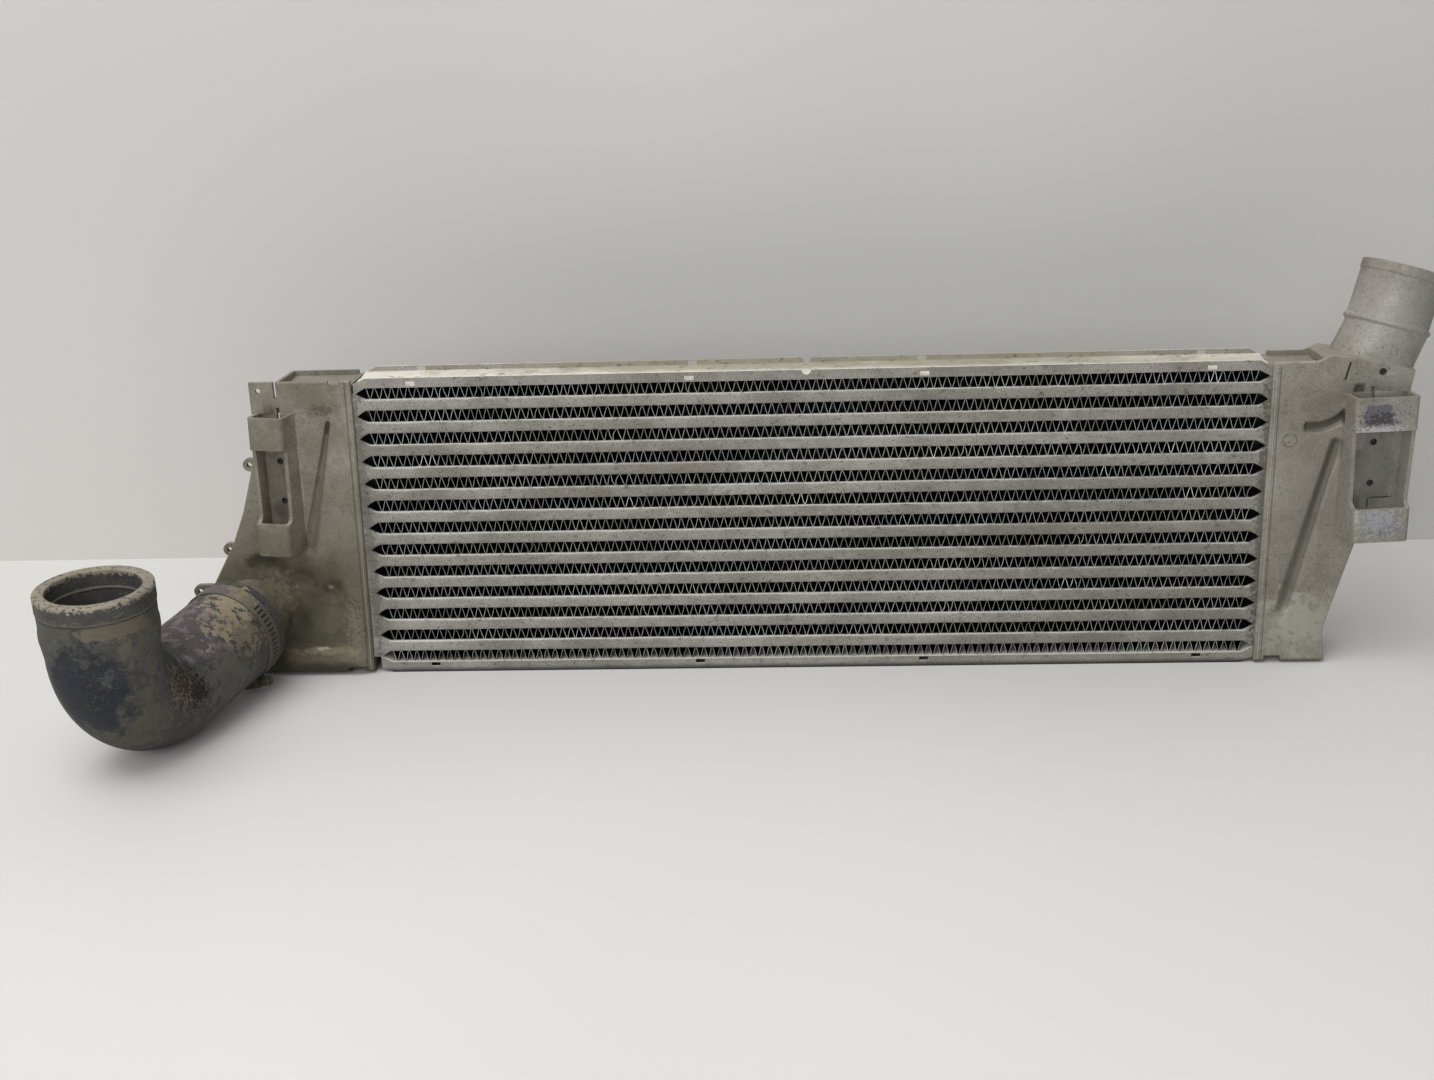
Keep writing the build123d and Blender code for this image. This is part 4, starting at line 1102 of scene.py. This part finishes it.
# ------------------------------------------------------------------ core
@dataclass
class Core:
    """Tubes, fins, turbulators and side plates.

    Attributes:
        finishes: The materials.
        half_length: Half the length between the points of the fin openings.
        flare: Length over which a tube widens.
        nose: Radius of a tube's rounded edges.
        end_nose: The same at its widened ends.
        height: Height of a tube between its ends.
        wave: Length of one wave of an air fin.
        sheet: Thickness of a fin.
    """

    finishes: Finishes
    half_length: float = 307.5
    flare: float = 7.0
    nose: float = 1.25
    end_nose: float = 0.45
    height: float = 8.0
    wave: float = 5.9
    sheet: float = 0.24

    def tube_section(self, depth: float, height: float, radius: float) -> np.ndarray:
        """Closed loop of a rounded rectangle in Y and Z: four quarter circles of one radius.

        Args:
            depth: Size from front to back.
            height: Size from bottom to top.
            radius: Radius of the corners.

        Returns:
            Points as (Y, Z) about the middle of the section.
        """
        steps = 7
        turn = (np.arange(4)[:, None] * 0.5 + np.linspace(0, 0.5, steps)[None, :]).ravel() * np.pi
        corner = np.repeat(np.array([[1, 1], [-1, 1], [-1, -1], [1, -1]]), steps, axis=0)
        middle = corner * (np.array([depth, height]) / 2 - radius)
        return middle + radius * np.stack([np.cos(turn), np.sin(turn)], axis=1)

    def make_tube(self, node: str, seed: int) -> bpy.types.Object:
        """Flat tube: the section carried along X, wider at the flares, with small dents in its front edge.

        Args:
            node: Name of the CAD node that it replaces.
            seed: Seed of the dents.

        Returns:
            The tube.
        """
        low, high = (np.array(corner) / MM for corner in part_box(node))
        pitch = high[2] - low[2]
        straight = self.half_length - self.flare
        flare = np.linspace(0, 1, 8)[1:]
        outer = np.append(straight + self.flare * flare, high[0])
        stations = np.concatenate([-outer[::-1], np.linspace(-straight, straight, 160), outer])
        opened = np.clip((np.abs(stations) - straight) / self.flare, 0, 1)
        heights = self.height + (pitch - self.height) * (0.35 * opened + 0.65 * opened * np.sqrt(opened))
        depth = high[1] - low[1]
        sizes = ((self.height, self.nose), (pitch, self.end_nose))
        sections = np.stack([self.tube_section(depth, height, radius) for height, radius in sizes])
        share = ((heights - self.height) / (pitch - self.height))[:, None, None]
        loops = sections[0] * (1 - share) + sections[1] * share
        dent = smooth_noise(len(stations), 60, seed) * 0.16 * (share[:, 0, 0] < 0.5)
        front = np.clip(-loops[..., 0] / (depth / 2), 0, 1) ** 6
        loops[..., 1] += dent[:, None] * front
        points = np.empty((len(stations), loops.shape[1], 3))
        points[..., 0] = stations[:, None]
        points[..., 1] = loops[..., 0] + (low[1] + high[1]) / 2
        points[..., 2] = loops[..., 1] + (low[2] + high[2]) / 2
        faces = grid_faces(*points.shape[:2], close_columns=True).tolist()
        columns = points.shape[1]
        last = (len(stations) - 1) * columns
        faces += [list(range(columns)), list(range(last + columns - 1, last - 1, -1))]
        return dress(closed_skin(node, points, faces, 40), self.finishes.tube)

    def make_fin(self, node: str, seed: int) -> bpy.types.Object:
        """Air fin: a rounded zigzag in X and Z carried through the depth, leaning where its edge was bent.

        Args:
            node: Name of the CAD node that it replaces.
            seed: Seed of the first of its three noises.

        Returns:
            The fin.
        """
        low, high = (np.array(corner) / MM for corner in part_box(node))
        waves = round((high[0] - low[0]) / self.wave)
        samples = waves * 14 + 1
        x = np.linspace(low[0] + 0.3, high[0] - 0.3, samples)
        phase = np.linspace(0, waves, samples)
        jitter = smooth_noise(samples, waves // 2, seed) * 0.09
        triangle = 2 * np.abs(2 * ((phase + jitter) % 1) - 1) - 1
        zig = np.clip(triangle * 1.16, -1, 1)
        zig = zig * (1.5 - 0.5 * zig**2) * 0.5 + zig * 0.5
        swing = (high[2] - low[2] - self.sheet) / 2
        z = (low[2] + high[2]) / 2 + swing * zig
        y = np.array([low[1], low[1] + 1.0, low[1] + 3.0, low[1] + 9.0, high[1] - 2.0, high[1]])
        reach = np.array([1.0, 0.8, 0.35, 0.0, 0.0, 0.3])
        lean = smooth_noise(samples, waves * 2, seed + 50) * 0.28
        lean = lean + 1.3 * smooth_noise(samples, 46, seed + 90) ** 7
        slope = np.gradient(z, x)
        length = np.sqrt(1 + slope**2)
        normal = np.stack([-slope / length, 1 / length])
        free = (1 - zig**2)[None, :]
        layers = []
        for side in (-0.5, 0.5):
            px = x + side * self.sheet * normal[0] + reach[:, None] * lean[None, :] * free
            pz = np.clip(z + side * self.sheet * normal[1], low[2], high[2]) + 0 * px
            layers.append(np.stack([px, np.broadcast_to(y[:, None], px.shape), pz], axis=-1))
        loop = np.concatenate([layers[0], layers[1][::-1]], axis=0)
        faces = grid_faces(loop.shape[0], samples, close_rows=True).tolist()
        rows = loop.shape[0]
        faces.append([row * samples for row in range(rows)])
        faces.append([row * samples + samples - 1 for row in range(rows - 1, -1, -1)])
        return dress(closed_skin(node, loop, faces, 50), self.finishes.fin)

    def build(self) -> list[bpy.types.Object]:
        """Makes the core.

        Returns:
            The new pieces.
        """
        names = sorted(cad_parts)
        tubes = [name for name in names if name.startswith("tube_")]
        fins = [name for name in names if name.startswith("air_fin_")]
        made = [self.make_tube(node, 300 + index) for index, node in enumerate(tubes)]
        made += [self.make_fin(node, 700 + 3 * index) for index, node in enumerate(fins)]
        for node in ("side_plate_lower", "side_plate_upper"):
            made.append(dress(skin_of(node, 0.35), self.finishes.plate))
        for node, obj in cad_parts.items():
            if node.startswith("turbulator_"):
                obj.data.materials.clear()
                obj.data.materials.append(self.finishes.tube)
        return made


# ------------------------------------------------------------------ tanks
@dataclass
class Tanks:
    """The two cast tanks.

    Attributes:
        finishes: The materials.
        edge: Width of the rounding of cast edges in millimetres.
    """

    finishes: Finishes
    edge: float = 0.55

    def build(self) -> list[bpy.types.Object]:
        """Makes the tanks.

        Returns:
            The new pieces.
        """
        sides = (
            ("left_tank", self.finishes.left_tank, LEFT_SWELLS),
            ("right_tank", self.finishes.right_tank, RIGHT_SWELLS),
        )
        return [
            dress(skin_of(node, self.edge, swells=swells), material)
            for node, material, swells in sides
        ]


# ------------------------------------------------------------------ hose and clamp
@dataclass
class ElbowHose:
    """The moulded elbow and its clamp.  Its line is a straight run, a bend and an upright arm.

    Attributes:
        finishes: The materials.
        start: Middle of the end on the neck.
        turn: Direction of the run in plan, in degrees from -X towards -Y.
        dip: Angle of the run below the horizontal, in degrees.
        run: Length of the run.
        bend: Radius of the bend's middle line.
        arm: Length of the upright arm.
        wall: Thickness of the rubber.
        radii: Outer radius at the neck, in the bend and at the rim.
    """

    finishes: Finishes
    start: tuple[float, float, float] = (-400.4, -15.4, 45.614)
    turn: float = 71.4
    dip: float = 6.4
    run: float = 86.0
    bend: float = 52.6
    arm: float = 41.8
    wall: float = 7.6
    radii: tuple[float, float, float] = (34.7, 35.6, 37.4)

    def line(self, stations: np.ndarray) -> tuple[np.ndarray, np.ndarray, np.ndarray]:
        """Middle line of the hose at distances along it.

        Args:
            stations: Distances from the start in millimetres.

        Returns:
            Places, directions and the normals that point to the outside of the bend.
        """
        turn, dip = math.radians(self.turn), math.radians(self.dip)
        forward = np.array([-math.cos(turn), -math.sin(turn), 0.0])
        up = np.array([0.0, 0.0, 1.0])
        arc = self.bend * (math.pi / 2 + dip)
        angle = np.clip((stations - self.run) / self.bend - dip, -dip, math.pi / 2)[:, None]
        direction = forward * np.cos(angle) + up * np.sin(angle)
        outside = forward * np.sin(angle) - up * np.cos(angle)
        run_direction = forward * math.cos(dip) - up * math.sin(dip)
        middle = np.array(self.start) + run_direction * self.run
        middle -= (-forward * math.sin(dip) - up * math.cos(dip)) * self.bend
        straight = np.array(self.start) + run_direction * np.minimum(stations, self.run)[:, None]
        bent = middle + outside * self.bend
        rise = np.clip(stations - self.run - arc, 0, None)[:, None] * up
        return np.where(stations[:, None] < self.run, straight, bent + rise), direction, outside

    def radius(self, stations: np.ndarray) -> np.ndarray:
        """Outer radius along the hose: cuff, bend and rim, with the print of an old clamp under the rim.

        Args:
            stations: Distances along the hose in millimetres.

        Returns:
            The radius at each station.
        """
        arc = self.bend * math.radians(90 + self.dip)
        total = self.run + arc + self.arm
        knots = [0.0, 42.0, self.run, self.run + arc, self.run + arc + 12.0, total]
        radius = np.interp(stations, knots, np.repeat(self.radii, 2))
        below = total - stations
        near_edge = 1 / (1 + np.exp(-(below - 12.0) / 0.35))
        far_edge = 1 / (1 + np.exp(-(below - 23.5) / 0.5))
        crease = np.exp(-(((below - 12.6) / 0.5) ** 2))
        return radius - 0.55 * (near_edge - far_edge) - 0.3 * crease

    def build(self) -> list[bpy.types.Object]:
        """Makes the hose as one closed skin: outside, rounded rim, bore and rounded inner end.

        Returns:
            The new pieces.
        """
        total = self.run + self.bend * math.radians(90 + self.dip) + self.arm
        bead = 1.2  # radius of the rounded rim
        upper = np.linspace(total - 29.6, total - bead, 72)
        outer = np.concatenate([np.linspace(1.0, total - 30.0, 120), upper])
        edge = np.linspace(0, np.pi / 2, 5)[1:-1]
        rim, bore_rim = total - bead + bead * np.sin(edge), total - bead + bead * np.cos(edge)
        stations = np.concatenate([outer, rim, [total, total], bore_rim, outer[::-1], [0.0, 0.0]])
        inward = np.concatenate([
            0 * outer, bead * (1 - np.cos(edge)), [bead, self.wall - bead],
            self.wall - bead * (1 - np.sin(edge)), 0 * outer + self.wall, [self.wall - 1.0, 1.0],
        ])
        places, directions, outsides = self.line(stations)
        sides = np.cross(directions, outsides)
        around = np.linspace(0, 2 * np.pi, 96, endpoint=False)
        radius = (self.radius(stations) - inward)[:, None]
        skin = inward < self.wall / 2
        wobble = smooth_noise(len(stations), 9, 11)[:, None] * np.cos(2 * around + 0.6) * 0.25
        wobble = wobble + smooth_noise(len(stations), 14, 12)[:, None] * np.sin(3 * around) * 0.15
        fade = np.clip((stations - 40) / 25, 0, 1) * np.clip((total - stations) / 25, 0, 1) * skin
        radius = radius + np.minimum(wobble, 0) * fade[:, None]
        ring = np.cos(around)[:, None] * outsides[:, None, :] + np.sin(around)[:, None] * sides[:, None, :]
        low, high = (np.array(corner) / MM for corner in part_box("elbow_hose"))
        points = np.clip(places[:, None, :] + radius[..., None] * ring, low, high)
        faces = grid_faces(*points.shape[:2], close_rows=True, close_columns=True)
        made = [dress(closed_skin("elbow_hose", points, faces, 40), self.finishes.hose)]
        for node, width in (("clamp_band", 0.15), ("clamp_worm_housing", 0.4), ("clamp_screw", 0.25)):
            made.append(dress(skin_of(node, width), self.finishes.steel))
        return made


# ------------------------------------------------------------------ studio
@dataclass
class Studio:
    """Floor, back wall, lamps and camera.

    Attributes:
        wall_back: Distance of the wall behind the front of the core in millimetres.
        camera_place: Place of the camera in millimetres.
        pitch: Angle of the view below the horizontal, in radians.
        yaw: Turn of the view from Y towards X, in radians.
        roll: Turn about the line of view, in radians.
        lens: Focal length in millimetres on a sensor 36 mm wide.
    """

    wall_back: float = 235.0
    camera_place: tuple[float, float, float] = (10.66, -1232.15, 562.09)
    pitch: float = 0.35992
    yaw: float = -0.06059
    roll: float = 0.03686
    lens: float = 47.70

    def plain(self, name: str, low: Colour, high: Colour, one_sided: bool = False) -> bpy.types.Material:
        """Pale painted surface that changes slowly across itself.

        Args:
            name: Name of the material.
            low: Colour of one end of the change.
            high: Colour of the other.
            one_sided: Whether the back of its faces is clear, as on a wall that stands behind the part.

        Returns:
            The finished material.
        """
        material, nodes, place = new_material(name)
        colour = nodes.mix(nodes.ramp(nodes.noise(place, 1.2, 2.0), 0.3, 0.7), low, high)
        shader = nodes.add("ShaderNodeBsdfPrincipled", {"Base Color": colour, "Roughness": 0.55})
        if one_sided:
            behind = nodes.add("ShaderNodeNewGeometry").outputs["Backfacing"]
            clear = nodes.add("ShaderNodeBsdfTransparent")
            shader = nodes.add("ShaderNodeMixShader", {0: behind, 1: shader.outputs[0], 2: clear.outputs[0]})
        nodes.add("ShaderNodeOutputMaterial", {"Surface": shader.outputs[0]})
        return material

    def slab(self, name: str, corners: list, material: bpy.types.Material) -> None:
        """One large flat face of the studio."""
        obj = mesh_object(name, np.array(corners) * MM, [[0, 1, 2, 3]])
        obj.data.materials.append(material)

    def lamp(self, name: str, place: tuple, target: tuple, size: tuple, power: float) -> None:
        """Soft rectangular lamp that points at a target.

        Args:
            name: Name of the lamp.
            place: Its place in millimetres.
            target: The point that it lights.
            size: Its width and height in millimetres.
            power: Its power in watts.
        """
        data = bpy.data.lights.new(name, "AREA")
        data.shape = "RECTANGLE"
        data.size, data.size_y = metres(*size)
        data.energy = power
        obj = bpy.data.objects.new(name, data)
        obj.location = Vector(place) * MM
        obj.rotation_euler = (Vector(target) - Vector(place)).to_track_quat("-Z", "Y").to_euler()
        bpy.context.scene.collection.objects.link(obj)

    def camera(self) -> None:
        """Camera turned by its pitch, yaw and roll: its rows are right, down and forward."""
        cp, sp = math.cos(self.pitch), math.sin(self.pitch)
        cy, sy = math.cos(self.yaw), math.sin(self.yaw)
        cr, sr = math.cos(self.roll), math.sin(self.roll)
        forward = np.array([sy * cp, cy * cp, -sp])
        right = np.array([cy, -sy, 0.0])
        down = np.cross(forward, right)
        right, down = cr * right + sr * down, -sr * right + cr * down
        matrix = Matrix((right, -down, -forward)).transposed().to_4x4()
        matrix.translation = Vector(self.camera_place) * MM
        data = bpy.data.cameras.new("camera")
        data.lens = self.lens
        data.sensor_width = 36.0
        obj = bpy.data.objects.new("camera", data)
        obj.matrix_world = matrix
        bpy.context.scene.collection.objects.link(obj)
        bpy.context.scene.camera = obj

    def build(self) -> None:
        """Sets up the whole studio."""
        floor = self.plain("floor_paint", srgb(206, 205, 201), srgb(213, 212, 208))
        wall = self.plain("wall_paint", srgb(190, 187, 184), srgb(200, 197, 194), one_sided=True)
        back, wide = self.wall_back, 6000
        self.slab("floor", [(-wide, -wide, 0), (wide, -wide, 0), (wide, wide, 0), (-wide, wide, 0)], floor)
        self.slab("wall", [(-wide, back, 0), (wide, back, 0), (wide, back, 5000), (-wide, back, 5000)], wall)
        self.lamp("ceiling_lamp", (-700, -700, 2200), (0, 0, 50), (2000, 1500), 34.0)
        self.lamp("front_lamp", (-900, -2600, 1300), (0, 0, 100), (2000, 1500), 34.0)
        world = bpy.data.worlds.new("studio")
        world.use_nodes = True
        world.node_tree.nodes["Background"].inputs["Color"].default_value = (*srgb(232, 233, 236), 1.0)
        world.node_tree.nodes["Background"].inputs["Strength"].default_value = 0.55
        bpy.context.scene.world = world
        bpy.context.scene.view_settings.view_transform = "Standard"
        self.camera()


def main() -> None:
    """Builds the part and the studio, and reports each piece."""
    logging.basicConfig(level=logging.INFO, format="%(name)s: %(message)s")
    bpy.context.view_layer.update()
    finishes = Finishes()
    for assembly in (Core(finishes), Tanks(finishes), ElbowHose(finishes)):
        for obj in assembly.build():
            LOG.info("%s has %d faces", obj.name, len(obj.data.polygons))
    Studio().build()


if __name__ == "__main__":
    main()
